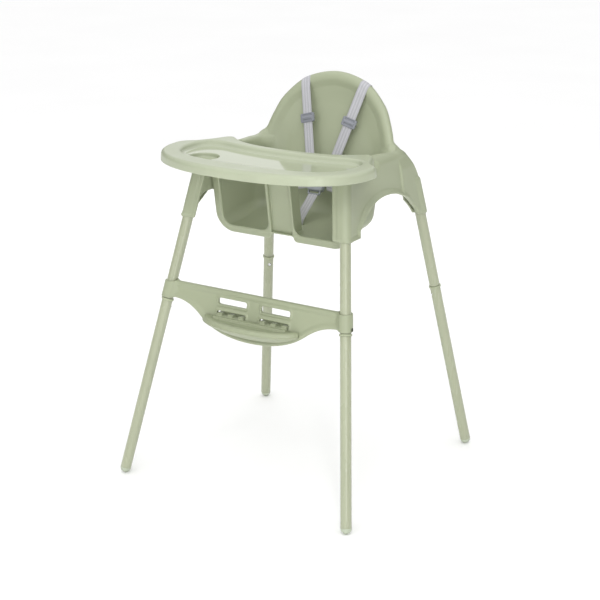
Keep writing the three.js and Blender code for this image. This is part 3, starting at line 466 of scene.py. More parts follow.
def seat_field(p):
    x, y, z = np.abs(p[:, 0]), p[:, 1], p[:, 2]
    hollow = bucket_hollow(x, y, z)
    front = (-78.0 - 0.16 * (z - SEAT_Z) - y) * 0.987
    shell = bucket_wall(x, y, z, hollow, front)
    fillet = 0.3 + 4.7 * ramp(166.0, 178.0, x) + 17.0 * ramp(752.0, 772.0, z) * ramp(158.0, 172.0, x)
    shell = rmin(shell, arm_skin(x, y, z, hollow), fillet)

    # rims round the leg openings and the set-back post between them
    depth = -front
    opening_rim, window = leg_openings(x, (z - SEAT_Z) * 1.0127)
    plate = rmax(rcut(opening_rim, window, 0.5), slab(depth, 0.0, 4.4), 1.8)
    plate = rmax(plate, z - 752.0, 1.0)
    shell = rmin(shell, plate, 4.0)
    post = rmax(both(x - 32.0, slab(depth, 0.0, 38.0)), slab(z, 588.0, 748.0), 1.5)
    post = rcut(post, both(x - 28.0, depth - 8.0), 2.0)
    post = both(post, -both(x - 28.0, slab(depth, 12.0, 34.0), z - 744.0))
    shell = rmin(shell, post, 2.0)

    # ledges for the tray, then everything that passes through
    ledge = rmax(box2(x - 160.0, z - 740.0, 4.5, 2.0, 1.0), slab(y, -74.0, 2.0), 1.0)
    shell = either(shell, ledge)
    shell = rcut(shell, leg_bore("front", x, y, z, 744.0), 0.8)
    shell = rcut(shell, leg_bore("rear", x, y, z, 688.0), 0.8)
    waist = both(box2(x - WAIST_X, z - WAIST_Z, 2.8, 13.3, 1.5), slab(y, 60.0, 180.0))
    crotch = both(box2(x, y - CROTCH_Y, 14.8, 3.3, 1.5), slab(z, 560.0, 620.0))
    return rcut(shell, either(waist, crotch), 1.0)


# ---- tray ----
def super_front(half, centre, depth, power, steps=40):
    """The front half of a superellipse."""
    angle = np.linspace(0, math.pi, steps + 1)
    c, s = np.cos(angle), np.sin(angle)
    u = half * np.sign(c) * np.abs(c) ** (2 / power)
    v = centre - depth * np.abs(s) ** (2 / power)
    return list(zip(u, v))


tray_outline = Outline(
    super_front(267, -126, 172, 2.3)
    + both_sides(
        bezier((-267, -126), (-267, -102), (-240, -83), steps=8)
        + bezier((-240, -83), (-224, -64), (-210, -30), steps=8)
        + bezier((-210, -30), (-200, 2), (-178, -2), steps=8)
        + bezier((-178, -2), (-130, -48), (-80, -56), (0, -57), steps=16)
    ),
    pitch=1.5,
    pad=30.0,
)
pocket_outline = Outline(
    super_front(222, -116, 122, 2.9)
    + both_sides(
        bezier((-222, -116), (-222, -78), (-198, -58), (-160, -66), steps=12)
        + bezier((-160, -66), (-112, -80), (-60, -86), (0, -86), steps=12)
    ),
    pitch=1.5,
    pad=60.0,
)


TRAY_TOP = 780.0
TRAY_FLOOR = 768.0
WELL_FLOOR = 758.0
WELL_R = 36.0
TRAY_WALL = 3.0


def tray_field(p):
    x, y, z = p[:, 0], p[:, 1], p[:, 2]
    outer = tray_outline(x, y) + 0.07 * (z - WELL_FLOOR)
    pocket = pocket_outline(x, y)
    dip = rmax((pocket + 0.5 * (TRAY_TOP - z)) * 0.894, TRAY_FLOOR - z, 7.0)
    ring = np.hypot(x + 148.0, y + 176.0)
    well = rmax(ring - WELL_R + 0.12 * (TRAY_FLOOR - z), WELL_FLOOR - z, 3.5)
    dip = rmin(dip, well, 2.2)
    body = rcut(rmax(outer, z - TRAY_TOP, 9.5), dip, 5.5)
    body = rmax(body, -(body + TRAY_WALL), 0.3)
    body = rmax(body, 757.8 - z - 2.4 * (ring < 38.9), 0.8)
    ax = np.abs(x)
    rail = rmax(box2(ax - 153.7, z - 747.0, 1.7, 15.0, 0.8), slab(y, -74.0, -6.0), 0.8)
    hook = rmax(box2(ax - 155.7, z - 735.0, 3.6, 2.0, 0.8), slab(y, -74.0, -6.0), 0.8)
    return either(body, either(rail, hook))


# ---- footrest ----
SLOT_X = 58.5
BAR_SLOTS = ((440.0, 7.5), (412.0, 6.5))
BAR_TOP = 464.0
bar_outline = Outline(
    both_sides(
        [(-226, BAR_TOP), (-226, 430)]
        + bezier((-226, 430), (-190, 430), (-165, 418), (-139, 398), steps=10)
        + bezier((-139, 398), (-113, 378), (-70, 361), (0, 361), steps=12)
    ),
    pitch=1.0,
    pad=24.0,
)


def bar_depth(y, z):
    """How far a point is behind the bar's middle plane, which leans with the front legs."""
    return (y + 188.4 - BAR_LEAN * (z - BAR_TOP)) * BAR_COS


def bar_field(p):
    x, y, z = np.abs(p[:, 0]), p[:, 1], p[:, 2]
    w = bar_depth(y, z)
    outline = bar_outline(x, z)
    plate = rmax(outline, np.abs(w) - 2.2, 0.8)
    bead = box2(outline + 3.4, w, 3.4, 4.6, 3.0)
    body = rmin(plate, bead, 7.0)
    for middle, half in BAR_SLOTS:
        frame_ring = box2(x - SLOT_X, z - middle, 43.0, half + 3.4, 6.5)
        lip = box2(frame_ring + 2.2, w, 2.2, 4.4, 2.0)
        body = rmin(body, lip, 3.5)
    dx, dy = leg_offsets("front", x, y, z)
    radial = np.hypot(dx, dy)
    collar = rmax(radial - 16.6, slab(z, 427.5, 466.0), 1.8)
    body = rmin(body, collar, 7.0)
    body = rcut(body, both(radial - 12.9, slab(z, 400.0, 500.0)), 0.7)
    for middle, half in BAR_SLOTS:
        mouth = both(box2(x - SLOT_X, z - middle, 39.5, half, half - 1.5), np.abs(w) - 20.0)
        body = rcut(body, mouth, 1.6)
    return body


moon_outline = Outline(
    both_sides(
        [(-129, -190), (-129, -207)]
        + bezier((-129, -207), (-129, -236), (-76, -261), (0, -261), steps=20)
    ),
    pitch=1.0,
    pad=24.0,
)


def shelf_field(p):
    x, y, z = np.abs(p[:, 0]), p[:, 1], p[:, 2]
    moon = moon_outline(x, y)
    top = z - 407.0 + 3.0 * ramp(10.0, 26.0, -moon)
    body = rmax(rmax(moon, top, 8.0), 390.0 - z, 8.5)
    bowl = rmax(moon + 7.0 + 1.5 * (391.0 - z), bar_outline(x, z) + 3.0, 4.0)
    body = rmin(body, both(bowl, z - 398.0), 2.0)
    behind = bar_depth(y, z) + 6.4
    body = rmax(body, behind, 0.8)
    reach = 36.5
    for step in (-1, 0, 1):
        tooth = box2(x - (SLOT_X + step * (reach - 7)), z - 410.5, 6.8, 4.2, 1.2)
        tooth = rmax(tooth, slab(y, -209.5, -187.0), 1.2)
        body = either(body, both(tooth, z - 414.6))
    tongue = rmax(box2(x - SLOT_X, z - 407.8, reach, 1.6, 0.8), slab(y, -209.5, -190.5), 0.8)
    stop = rmax(box2(x - SLOT_X, z - 411.4, reach, 5.0, 1.5), slab(y, -192.5, -189.5), 0.8)
    tongue = either(tongue, stop)
    root = rmax(both(x - 98.0, slab(z, 400.0, 409.0)), both(slab(y, -221.0, -206.0), behind), 2.0)
    return rmin(either(body, tongue), root, 2.0)


# ---- materials ----
def new_material(name):
    mat = bpy.data.materials.new(name)
    mat.use_nodes = True
    tree = mat.node_tree
    shader = tree.nodes["Principled BSDF"]
    return mat, tree, shader


def link(tree, a, b):
    tree.links.new(a, b)


def set_inputs(node, **values):
    for name, value in values.items():
        node.inputs[name.replace("_", " ")].default_value = value


def math_node(tree, operation, *values):
    node = tree.nodes.new("ShaderNodeMath")
    node.operation = operation
    for socket, value in zip(node.inputs, values):
        if isinstance(value, float):
            socket.default_value = value
        else:
            link(tree, value, socket)
    return node.outputs[0]


def mix_values(tree, factor, a, b):
    """A Mix node on sockets or plain numbers."""
    node = tree.nodes.new("ShaderNodeMix")
    for name, value in (("Factor", factor), ("A", a), ("B", b)):
        if isinstance(value, float):
            node.inputs[name].default_value = value
        else:
            link(tree, value, node.inputs[name])
    return node.outputs["Result"]


def split_xyz(tree, vector):
    node = tree.nodes.new("ShaderNodeSeparateXYZ")
    link(tree, vector, node.inputs["Vector"])
    return node.outputs


def noise(tree, vector, scale, detail=3.0, rough=0.5):
    node = tree.nodes.new("ShaderNodeTexNoise")
    set_inputs(node, Scale=scale, Detail=detail, Roughness=rough)
    link(tree, vector, node.inputs["Vector"])
    return node.outputs["Fac"]


def spread(tree, value, low, high, from_low=0.3, from_high=0.7):
    node = tree.nodes.new("ShaderNodeMapRange")
    set_inputs(node, From_Min=from_low, From_Max=from_high, To_Min=low, To_Max=high)
    link(tree, value, node.inputs["Value"])
    return node.outputs["Result"]


def mix(tree, factor, a, b):
    node = tree.nodes.new("ShaderNodeMix")
    node.data_type = "RGBA"
    for socket, value in (("A", a), ("B", b)):
        target = [s for s in node.inputs if s.name == socket and s.type == "RGBA"][0]
        if isinstance(value, tuple):
            target.default_value = (*value, 1)
        else:
            link(tree, value, target)
    if isinstance(factor, float):
        node.inputs["Factor"].default_value = factor
    else:
        link(tree, factor, node.inputs["Factor"])
    return [s for s in node.outputs if s.type == "RGBA"][0]


def bump(tree, shader, layers):
    """Chained bumps: (height, distance in metres, strength)."""
    normal = None
    for height, distance, strength in layers:
        node = tree.nodes.new("ShaderNodeBump")
        set_inputs(node, Distance=distance, Strength=strength)
        link(tree, height, node.inputs["Height"])
        if normal is not None:
            link(tree, normal, node.inputs["Normal"])
        normal = node.outputs["Normal"]
    link(tree, normal, shader.inputs["Normal"])


def position(tree, stretch=None):
    coords = tree.nodes.new("ShaderNodeTexCoord").outputs["Object"]
    if stretch is None:
        return coords
    node = tree.nodes.new("ShaderNodeMapping")
    node.inputs["Scale"].default_value = stretch
    link(tree, coords, node.inputs["Vector"])
    return node.outputs["Vector"]


def srgb(*rgb):
    """A linear colour from an sRGB one of 0 to 255."""
    parts = [c / 255 for c in rgb]
    return tuple(c / 12.92 if c <= 0.04045 else ((c + 0.055) / 1.055) ** 2.4 for c in parts)


def scaled(color, factor, lift=0.0):
    return tuple(min(1.0, c * factor + lift) for c in color)


def plastic(name, color, rough, grain=0.6, grain_scale=900.0, scuff=0.05, polish=None, painted_crevice_shade=None):
    """Moulded plastic: a fine spark-eroded grain, slow flow in the colour, faint scuffs in the gloss.

    Level faces below the height polish, in metres, are polished. The crevice factor paints shade into the
    inside corners: painted shade, the colour scaled by it where pointiness is low.
    """
    mat, tree, shader = new_material(name)
    at = position(tree)
    flow = spread(tree, noise(tree, at, 6.0, 2.0), 0.0, 1.0)
    speck = spread(tree, noise(tree, at, 420.0, 2.0), 0.0, 1.0)
    base = mix(tree, flow, scaled(color, 0.965), scaled(color, 1.035))
    base = mix(tree, speck, base, mix(tree, 0.05, base, scaled(color, 0.8)))
    edge = tree.nodes.new("ShaderNodeNewGeometry").outputs["Pointiness"]
    worn = spread(tree, edge, 0.0, 0.35, 0.53, 0.62)
    base = mix(tree, worn, base, scaled(color, 1.16, 0.01))
    # painted shade: inside corners (low pointiness) get a darker colour where shade would fall
    if painted_crevice_shade is not None:
        base = mix(tree, spread(tree, edge, 1.0, 0.0, 0.40, 0.49), base, scaled(color, painted_crevice_shade))
    link(tree, base, shader.inputs["Base Color"])
    drawn = position(tree, (1.0, 0.12, 0.5))
    scratch = spread(tree, noise(tree, drawn, 160.0, 6.0, 0.65), 0.0, scuff, 0.5, 0.72)
    cloud = spread(tree, noise(tree, at, 22.0, 3.0), rough - 0.035, rough + 0.035)
    gloss = math_node(tree, "ADD", cloud, scratch)
    fine = noise(tree, at, grain_scale, 2.0, 0.6)
    if polish is not None:
        above = spread(tree, split_xyz(tree, at)["Z"], 0.0, 1.0, polish, polish + 0.003)
        normal = split_xyz(tree, tree.nodes.new("ShaderNodeTexCoord").outputs["Normal"])
        satin = math_node(tree, "MAXIMUM", above, spread(tree, normal["Z"], 1.0, 0.0, 0.8, 0.95))
        gloss = mix_values(tree, satin, spread(tree, scratch, 0.05, 0.09, 0.0, scuff), gloss)
        fine = math_node(tree, "MULTIPLY", fine, satin)
    link(tree, gloss, shader.inputs["Roughness"])
    bump(tree, shader, [(noise(tree, at, 16.0, 1.0), 0.0006, 0.12), (fine, 0.00012, grain)])
    set_inputs(shader, IOR=1.5)
    return mat


def paint(name, color):
    """Powder-coated steel tube: glossy, with a slight orange peel and a few fine rubs."""
    mat, tree, shader = new_material(name)
    at = position(tree)
    flow = spread(tree, noise(tree, at, 9.0, 2.0), 0.0, 1.0)
    link(tree, mix(tree, flow, scaled(color, 0.97), scaled(color, 1.03)), shader.inputs["Base Color"])
    rub = noise(tree, position(tree, (1.0, 1.0, 0.08)), 70.0, 3.0, 0.5)
    link(tree, spread(tree, rub, 0.27, 0.31, 0.45, 0.7), shader.inputs["Roughness"])
    bump(tree, shader, [(noise(tree, at, 1400.0, 1.0), 0.00002, 0.1)])
    set_inputs(shader, Coat_Weight=0.35, Coat_Roughness=0.12)
    return mat


WARP_PITCH, WEFT_PITCH = 0.0021, 0.0012
RIB_SHADE_PITCH = 0.0072


def sine_wave(tree, socket, pitch):
    return math_node(tree, "SINE", math_node(tree, "MULTIPLY", socket, 2 * math.pi / pitch))


def webbing(name, color):
    """Woven polyester strap: fine warp ribs crossed by the weft, in the strap's own coordinates, with
    painted shade in the grooves between the lengthwise ribs.
    """
    mat, tree, shader = new_material(name)
    attribute = tree.nodes.new("ShaderNodeAttribute")
    attribute.attribute_name = "web"
    at = attribute.outputs["Vector"]
    strip = split_xyz(tree, at)
    warp = sine_wave(tree, strip["X"], WARP_PITCH)
    weft = sine_wave(tree, strip["Y"], WEFT_PITCH)
    weave = spread(tree, math_node(tree, "MULTIPLY", warp, weft), 0.0, 1.0, -1.0, 1.0)
    fuzz = noise(tree, at, 1800.0, 3.0)
    slow = spread(tree, noise(tree, at, 40.0, 2.0), 0.0, 1.0)
    light = scaled(color, 1.12)
    base = mix(tree, weave, scaled(color, 0.74), light)
    base = mix(tree, spread(tree, fuzz, 0.0, 0.35), base, scaled(color, 0.85))
    base = mix(tree, slow, base, mix(tree, 0.12, base, light))
    # painted shade: darker stripes along the grooves between the ribs, with the rib crests left light
    quarter = math_node(tree, "ADD", strip["Y"], RIB_SHADE_PITCH / 4)
    lane = spread(tree, sine_wave(tree, quarter, RIB_SHADE_PITCH), 0.0, 1.0, -0.2, 0.75)
    base = mix(tree, lane, scaled(color, 0.78), base)
    link(tree, base, shader.inputs["Base Color"])
    link(tree, spread(tree, fuzz, 0.5, 0.7), shader.inputs["Roughness"])
    bump(tree, shader, [(weave, 0.00035, 0.6), (fuzz, 0.0001, 0.4)])
    set_inputs(shader, Sheen_Weight=0.25, Sheen_Roughness=0.4)
    return mat


def metal(name, color, rough):
    """Plated steel with a fine drawn grain."""
    mat, tree, shader = new_material(name)
    set_inputs(shader, Metallic=1.0)
    at = position(tree)
    base = mix(tree, spread(tree, noise(tree, at, 90.0, 3.0), 0.0, 1.0), scaled(color, 0.9), color)
    link(tree, base, shader.inputs["Base Color"])
    gloss = spread(tree, noise(tree, at, 700.0, 4.0), rough * 0.7, rough * 1.4)
    link(tree, gloss, shader.inputs["Roughness"])
    bump(tree, shader, [(noise(tree, at, 1500.0, 2.0), 0.00004, 0.4)])
    return mat


SHELL = plastic("shell_plastic", srgb(162, 169, 142), 0.40)
TRAY = plastic("tray_plastic", srgb(172, 179, 154), 0.32, grain=0.3, scuff=0.03, polish=0.7688)
FOOTREST = plastic("footrest_plastic", srgb(158, 165, 137), 0.40)
PAINT = paint("leg_paint", srgb(165, 170, 144))
COLLAR = plastic("collar_plastic", srgb(168, 175, 146), 0.42, grain=0.4)
FOOT = plastic("foot_plastic", srgb(182, 190, 170), 0.5, grain=0.8)
WEBBING = webbing("webbing", srgb(196, 196, 201))
# the slider's slots and inside corners carry painted shade (crevice factor 0.06)
SLIDER = plastic("slider_plastic", srgb(136, 139, 147), 0.2, grain=0.2, grain_scale=1500.0, painted_crevice_shade=0.06)
HARNESS = plastic("harness_plastic", srgb(150, 154, 160), 0.36, grain=0.4, grain_scale=1500.0)
BLACK = plastic("black_plastic", srgb(48, 49, 52), 0.45, grain=0.6, grain_scale=1500.0)
CHROME = metal("button_steel", (0.78, 0.79, 0.80), 0.14)
SPRING = metal("spring_steel", (0.42, 0.43, 0.45), 0.32)


# ---- turned pieces ----
def soften(points, radius, steps=3, closed=True):
    """A profile with its corners rounded."""
    pts = [np.array(p, float) for p in points]
    out = []
    count = len(pts)
    for i, p in enumerate(pts):
        if not closed and i in (0, count - 1):
            out.append(p)
            continue
        a, b = pts[i - 1] - p, pts[(i + 1) % count] - p
        la, lb = np.linalg.norm(a), np.linalg.norm(b)
        r = min(radius, 0.45 * la, 0.45 * lb)
        start, end = p + a / la * r, p + b / lb * r
        for t in np.linspace(0, 1, steps + 1):
            out.append(start * (1 - t) ** 2 + 2 * p * t * (1 - t) + end * t * t)
    return out


def square_to(direction, wanted):
    """The unit direction square to direction that is nearest to wanted."""
    w = np.array(wanted, float)
    w -= direction * (direction @ w)
    return w / np.linalg.norm(w)


def lathe(name, profile, origin, direction, material, sides=56, closed=True):
    """A profile of (radius, distance along) points turned about an axis."""
    d = direction / np.linalg.norm(direction)
    a = square_to(d, (0, 1, 0) if abs(d[2]) > 0.95 else (0, 0, 1))
    c = np.cross(a, d)
    turns = [2 * math.pi * k / sides for k in range(sides)]
    points, rings = [], []
    for radius, along in profile:
        count = sides if radius > 0 else 1
        rings.append([len(points) + k % count for k in range(sides + 1)])
        points += [origin + d * along + (a * math.cos(t) + c * math.sin(t)) * radius for t in turns[:count]]
    faces = []
    for low, high in zip(rings, rings[1:] + (rings[:1] if closed else [])):
        for k in range(sides):
            face = dict.fromkeys((low[k], low[k + 1], high[k + 1], high[k]))
            if len(face) > 2:
                faces.append(tuple(face))
    ob = mesh_object(name, points, faces, material)
    outward(ob)
    return ob


def outward(ob):
    """Turns a closed mesh right side out."""
    work = bmesh.new()
    work.from_mesh(ob.data)
    if work.calc_volume(signed=True) < 0:
        ob.data.flip_normals()
    work.free()


def crisp(ob, angle=32.0):
    ob.data.set_sharp_from_angle(angle=math.radians(angle))


def drill(ob, origin, direction, radius, depth=20.0):
    """Cuts a round hole out of a piece."""
    profile = [(0, 0), (radius, 0), (radius, depth), (0, depth)]
    tool = lathe("drill", profile, origin, direction, ob.data.materials[0], sides=28, closed=False)
    cut = ob.modifiers.new("hole", "BOOLEAN")
    cut.operation = "DIFFERENCE"
    cut.solver = "EXACT"
    cut.object = tool
    graph = bpy.context.evaluated_depsgraph_get()
    done = bpy.data.meshes.new_from_object(ob.evaluated_get(graph))
    ob.modifiers.clear()
    old = ob.data
    ob.data = done
    bpy.data.meshes.remove(old)
    bpy.data.objects.remove(tool)


# ---- build: moulded pieces ----
def moulding(name, field, low, high, step, material, node, body="chair", mirror=True):
    place(mesh_object(name, *net(field, low, high, step, mirror), material), node, body)


moulding("seat_shell_moulding", seat_field, (0, -190, 560), (236, 226, 940), 1.8, SHELL,
         "seat_shell")
moulding("tray_moulding", tray_field, (-275, -304, 728), (275, 6, 784), 1.8, TRAY,
         "tray", "tray_slider", mirror=False)
moulding("footrest_bar_moulding", bar_field, (0, -230, 354), (252, -165, 472), 1.4, FOOTREST,
         "footrest_bar")
moulding("footrest_shelf_moulding", shelf_field, (0, -268, 356), (134, -182, 422), 1.2, FOOTREST,
         "footrest_shelf", "footrest_step")


# ---- build: legs ----
BUTTON_R = 3.9
FLANGE_R = 5.0
NECK_R, NECK_BORE = 10.9, 9.7
TUBE_INNER = 11.3


def button_dome(name, origin, out, body, node):
    """A snap button: a flange that rests inside the neck, and a domed pin through both tubes."""
    seat = math.sqrt((NECK_BORE - 0.35) ** 2 - FLANGE_R ** 2)
    tip = TUBE_R + 1.4
    profile = [(0, seat - 1.5), (FLANGE_R, seat - 1.5), (FLANGE_R, seat), (BUTTON_R, seat)]
    turns = np.linspace(0, math.pi / 2, 9)
    profile += [(BUTTON_R * math.cos(t), tip - 2.2 + 2.2 * math.sin(t)) for t in turns[:-1]] + [(0, tip)]
    ob = lathe(name, profile, origin, out, CHROME, sides=32, closed=False)
    crisp(ob)
    place(ob, node, body)


def rings(low, high):
    """Profile points about every 24 mm along a tube."""
    return [(TUBE_R, t) for t in np.linspace(low, high, max(2, int(abs(high - low) / 24)))]


for end, side in CORNERS:
    sign = dict(SIDES)[side]
    tag = f"{end}_{side}"
    foot, axis = leg_axis(end, sign)
    shoulder = leg_at(end, JOINT_Z, sign)
    upper_length = np.linalg.norm(leg_at(end, LEGS[end]["tube"], sign) - shoulder)
    lower_end = 0.35 - np.linalg.norm(shoulder - foot)
    middle = shoulder - axis * 21.4
    inward = square_to(axis, (-middle[0], -middle[1], 0))
    lock = leg_at(end, LEGS[end]["socket"] + 30, sign)
    lock_out = square_to(axis, LEGS[end]["faces"])

    upper = [(NECK_BORE, -56), (NECK_R, -56), (NECK_R, -0.2)] + rings(0.9, upper_length)
    upper += [(TUBE_INNER, upper_length), (TUBE_INNER, 4), (NECK_BORE, 2)]
    ob = lathe(f"upper_tube_{tag}", soften(upper, 0.5), shoulder, axis, PAINT)
    drill(ob, middle, inward, BUTTON_R + 0.4)
    drill(ob, lock, lock_out, BUTTON_R + 0.4)
    crisp(ob, 40)
    place(ob, f"leg_upper_{tag}")

    lower = rings(lower_end, -5.75) + [(TUBE_INNER, -5.75), (TUBE_INNER, lower_end)]
    ob = lathe(f"lower_tube_{tag}", soften(lower, 0.5), shoulder, axis, PAINT)
    drill(ob, middle, inward, BUTTON_R + 0.5)
    crisp(ob, 40)
    place(ob, f"leg_lower_{tag}")

    collar = soften([(11.25, -5.4), (14.5, -5.4), (14.5, -0.35), (11.25, -0.35)], 1.2, 4)
    ob = lathe(f"joint_ring_{tag}", collar, shoulder, axis, COLLAR)
    place(ob, f"joint_collar_{tag}")

    turns = np.linspace(-math.pi / 2, 0, 15)
    cap = [(0, -TUBE_R)] + [(TUBE_R * math.cos(t), TUBE_R * math.sin(t)) for t in turns[1:]]
    cap += [(12.0, 0.3), (10.95, 0.3), (10.95, 15.0), (9.95, 16.0), (0, 16.0)]
    ob = lathe(f"foot_plug_{tag}", cap, foot, axis, FOOT, closed=False)
    for v in ob.data.vertices:
        v.co.z = max(v.co.z, 0.0)
    crisp(ob, 50)
    place(ob, f"foot_cap_{tag}")

    button_dome(f"snap_button_dome_{tag}", middle, inward, f"snap_{tag}", f"snap_button_{tag}")


# ---- build: harness ----
WEB_WIDTH = 25.0
RIBS = (-7.2, 0.0, 7.2)


def tidy_path(points, spacing=2.5):
    pts = np.array(points, float)
    run = np.linalg.norm(np.diff(pts, axis=0), axis=1).sum()
    return spline(pts, max(8, int(run / spacing)))


def strap(name, points, across, thick=1.6, conform=None):
    """A flat strap along points, as wide as across points, with lengthwise ribs on both faces.

    conform is a field that the strap is pushed out of, so that it lies on a surface.
    """
    path = tidy_path(points)
    lanes = np.concatenate([[-1.0, -0.985, -0.95], np.linspace(-0.9, 0.9, 25), [0.95, 0.985, 1.0]])
    offset = lanes * WEB_WIDTH / 2
    sheet = path[:, None, :] + np.array(across, float) * offset[:, None]
    if conform is not None:
        flat = sheet.reshape(-1, 3)
        for _ in range(5):
            f, g, steep = slope_of(conform, flat, 0.4)
            flat = flat + np.maximum(1.0 - f, 0) * g / steep
        sheet = flat.reshape(sheet.shape)
        for _ in range(3):
            sheet[1:-1] = 0.25 * sheet[:-2] + 0.5 * sheet[1:-1] + 0.25 * sheet[2:]
    normal = np.cross(np.gradient(sheet, axis=0), np.gradient(sheet, axis=1))
    normal /= np.maximum(np.linalg.norm(normal, axis=2, keepdims=True), 1e-9)
    rib = sum(np.exp(-(((offset - c) / 1.5) ** 2)) for c in RIBS)
    edge = np.sqrt(np.clip(1 - np.abs(lanes) ** 14, 0.0, 1))
    half = np.maximum((thick / 2) * (0.72 + 0.34 * np.minimum(rib, 1)) * edge, 0.08)
    front = sheet + normal * half[None, :, None]
    back = sheet - normal * half[None, :, None]
    n, m = sheet.shape[:2]
    loop = np.concatenate([front, back[:, ::-1]], 1)
    k = loop.shape[1]
    points = loop.reshape(-1, 3)
    edges = [(i * k + j, i * k + (j + 1) % k) for i in range(n - 1) for j in range(k)]
    faces = [(a, b, b + k, a + k) for a, b in edges]
    for base in (0, (n - 1) * k):
        for j in range(m - 1):
            quad = (base + j, base + k - 1 - j, base + k - 2 - j, base + j + 1)
            faces.append(quad if base == 0 else quad[::-1])
    ob = mesh_object(name, points, faces, WEBBING)
    length = np.concatenate([[0], np.cumsum(np.linalg.norm(np.diff(sheet[:, m // 2], axis=0), axis=1))])
    w = np.concatenate([offset, offset[::-1]])
    face = np.tile(np.repeat([0.0, 0.02], m), n)
    web = np.stack([np.repeat(length, k) * MM, np.tile(w, n) * MM, face], 1)
    layer = ob.data.attributes.new("web", "FLOAT_VECTOR", "POINT")
    layer.data.foreach_set("vector", web.astype(np.float32).ravel())
    outward(ob)
    crisp(ob, 50)
    return ob


SLANT = 0.27
STRAP_TOP = 896.0
STRAP_LOW = (87.0, 702.0)
CREST = rim_y(903.0) + 4.0
OVER = 13.4
STRAP_LEAN = (CREST - OVER - STRAP_LOW[0]) / (STRAP_TOP - STRAP_LOW[1])
ADJUST_Z = 816.0
TALL = math.hypot(22, 33) / 2
X, Y, Z = np.eye(3)
UP = np.array((0, 22, 33)) / math.hypot(22, 33)
OUT = np.cross(X, UP)
BUCKLE = np.array((0, 73.0, 673.5))


def strap_x(z):
    return 80.65 + SLANT * (z - 903.0)


def strap_y(z):
    return STRAP_LOW[0] + (z - STRAP_LOW[1]) * STRAP_LEAN


def small_piece(
    name, field, origin, axes, half, step, node, material=BLACK, body="chair"
):
    """A small moulded piece, meshed in its own directions and put in place."""
    half = np.array(half, float)
    points, quads = net(lambda p: field(p[:, 0], p[:, 1], p[:, 2]), -half, half, step)
    ob = mesh_object(name, origin + points @ np.stack(axes), quads, material)
    outward(ob)
    place(ob, node, body)


def adjuster_field(a, b, c):
    body = rmax(box2(a, b, 18.5, 11.0, 3.5), np.abs(c) - 3.2, 1.2)
    mouth = box2(a, c, 13.7, 1.7, 0.6)
    body = rcut(body, mouth, 0.5)
    for middle in (-6.2, 6.2):
        window = both(box2(a, b - middle, 12.6, 2.0, 1.0), 2.3 - c)
        body = rcut(body, window, 0.6)
    bar = rmax(np.hypot(b / 3.4, (c - 2.4) / 2.2) * 2.2 - 2.2, np.abs(a) - 13.5, 0.8)
    return rmin(body, both(bar, 1.9 - c), 0.6)


def buckle_field(a, b, c):
    body = rmax(box2(a, b, 22.0 - 1.5 * (b / TALL) ** 2, TALL, 8.0), np.abs(c) - 7.5, 3.2)
    waist = np.abs(a) - 22.0 + 2.2 * np.exp(-((b / 7.0) ** 2))
    body = rmax(body, waist, 1.5)
    loop = rcut(rmax(box2(a, b + TALL + 3.5, 17.0, 5.5, 3.0), np.abs(c) - 3.0, 1.2),
                box2(a, b + TALL + 2.6, 13.4, 3.0, 1.0), 0.8)
    body = rmin(body, loop, 1.0)
    ring = np.hypot(a, b)
    body = rcut(body, both(ring - 9.35, -(c + 0.5)), 0.7)
    groove = np.abs(ring - 12.0) - 0.7
    body = rcut(body, both(groove, 7.0 - c), 0.3)
    for x in (-17.0, 17.0):
        mouth = both(box2(a - x, c, 4.9, 1.9, 0.5), TALL - 14.0 - b)
        body = rcut(body, mouth, 0.4)
    wing = both(box2(b, c, 6.0, 1.9, 0.5), 16.0 - np.abs(a))
    return rcut(body, wing, 0.4)


def button_field(a, b, c):
    ring = np.hypot(a, b)
    dish = c - 9.4 + 0.010 * (81 - ring * ring) * 0.6
    body = rmax(rmax(ring - 9.0, dish, 1.2), -(c - 2.85), 0.6)
    for k in (-3.0, 0.0, 3.0):
        body = rcut(body, both(np.abs(b - k) - 0.5, np.abs(a) - 5.0, 8.6 - c), 0.3)
    return body


def plate_field(hu, hv, hw):
    def field(a, b, c):
        return rmax(box2(a, b, hu, hv, 3.0), np.abs(c) - hw, 1.0)
    return field


def tongue_field(sign):
    """The blade in the buckle and the bar that its two straps pass round."""
    def field(a, b, c):
        blade = rmax(box2(a - sign * 17.0, b - (TALL - 4.5), 4.5, 9.2, 1.5), np.abs(c) - 1.5, 0.6)
        bar = box2(a - sign * strap_x(STRAP_LOW[1]), b - (TALL + 6.2), 15.5, 2.2, 1.5)
        return rmin(blade, rmax(bar, np.abs(c) - 2.6, 1.2), 0.8)
    return field


def shoulder_run(sign):
    """Up the front of the back, over its top edge in a half circle, and down to the anchor."""
    run = [(strap_x(z), strap_y(z), z) for z in np.linspace(STRAP_LOW[1], STRAP_TOP - 8, 12)]
    tight = 10.9
    for angle in np.linspace(math.pi, 0, 9):
        z = STRAP_TOP - 2.0 + tight * math.sin(angle)
        run.append((strap_x(z), CREST + tight * math.cos(angle), z))
    run += [(strap_x(z), CREST + OVER - 2.4, z) for z in (885.0, 873.0, 861.0)]
    return [(sign * x, y, z) for x, y, z in run]


def waist_run(sign):
    """From the tongue out to the slot in the back, and through it."""
    slope = (672.0 - WAIST_Z) / (WAIST_X - 25.5)
    steps = [(25.5, 74.0), (40, 77.6), (56, 81.6), (70, 85.4), (79.5, 90.8)]
    steps += [(WAIST_X, y) for y in (100.0, 108.0, 116.0)]
    return [(sign * x, y, WAIST_Z + slope * (WAIST_X - x)) for x, y in steps]


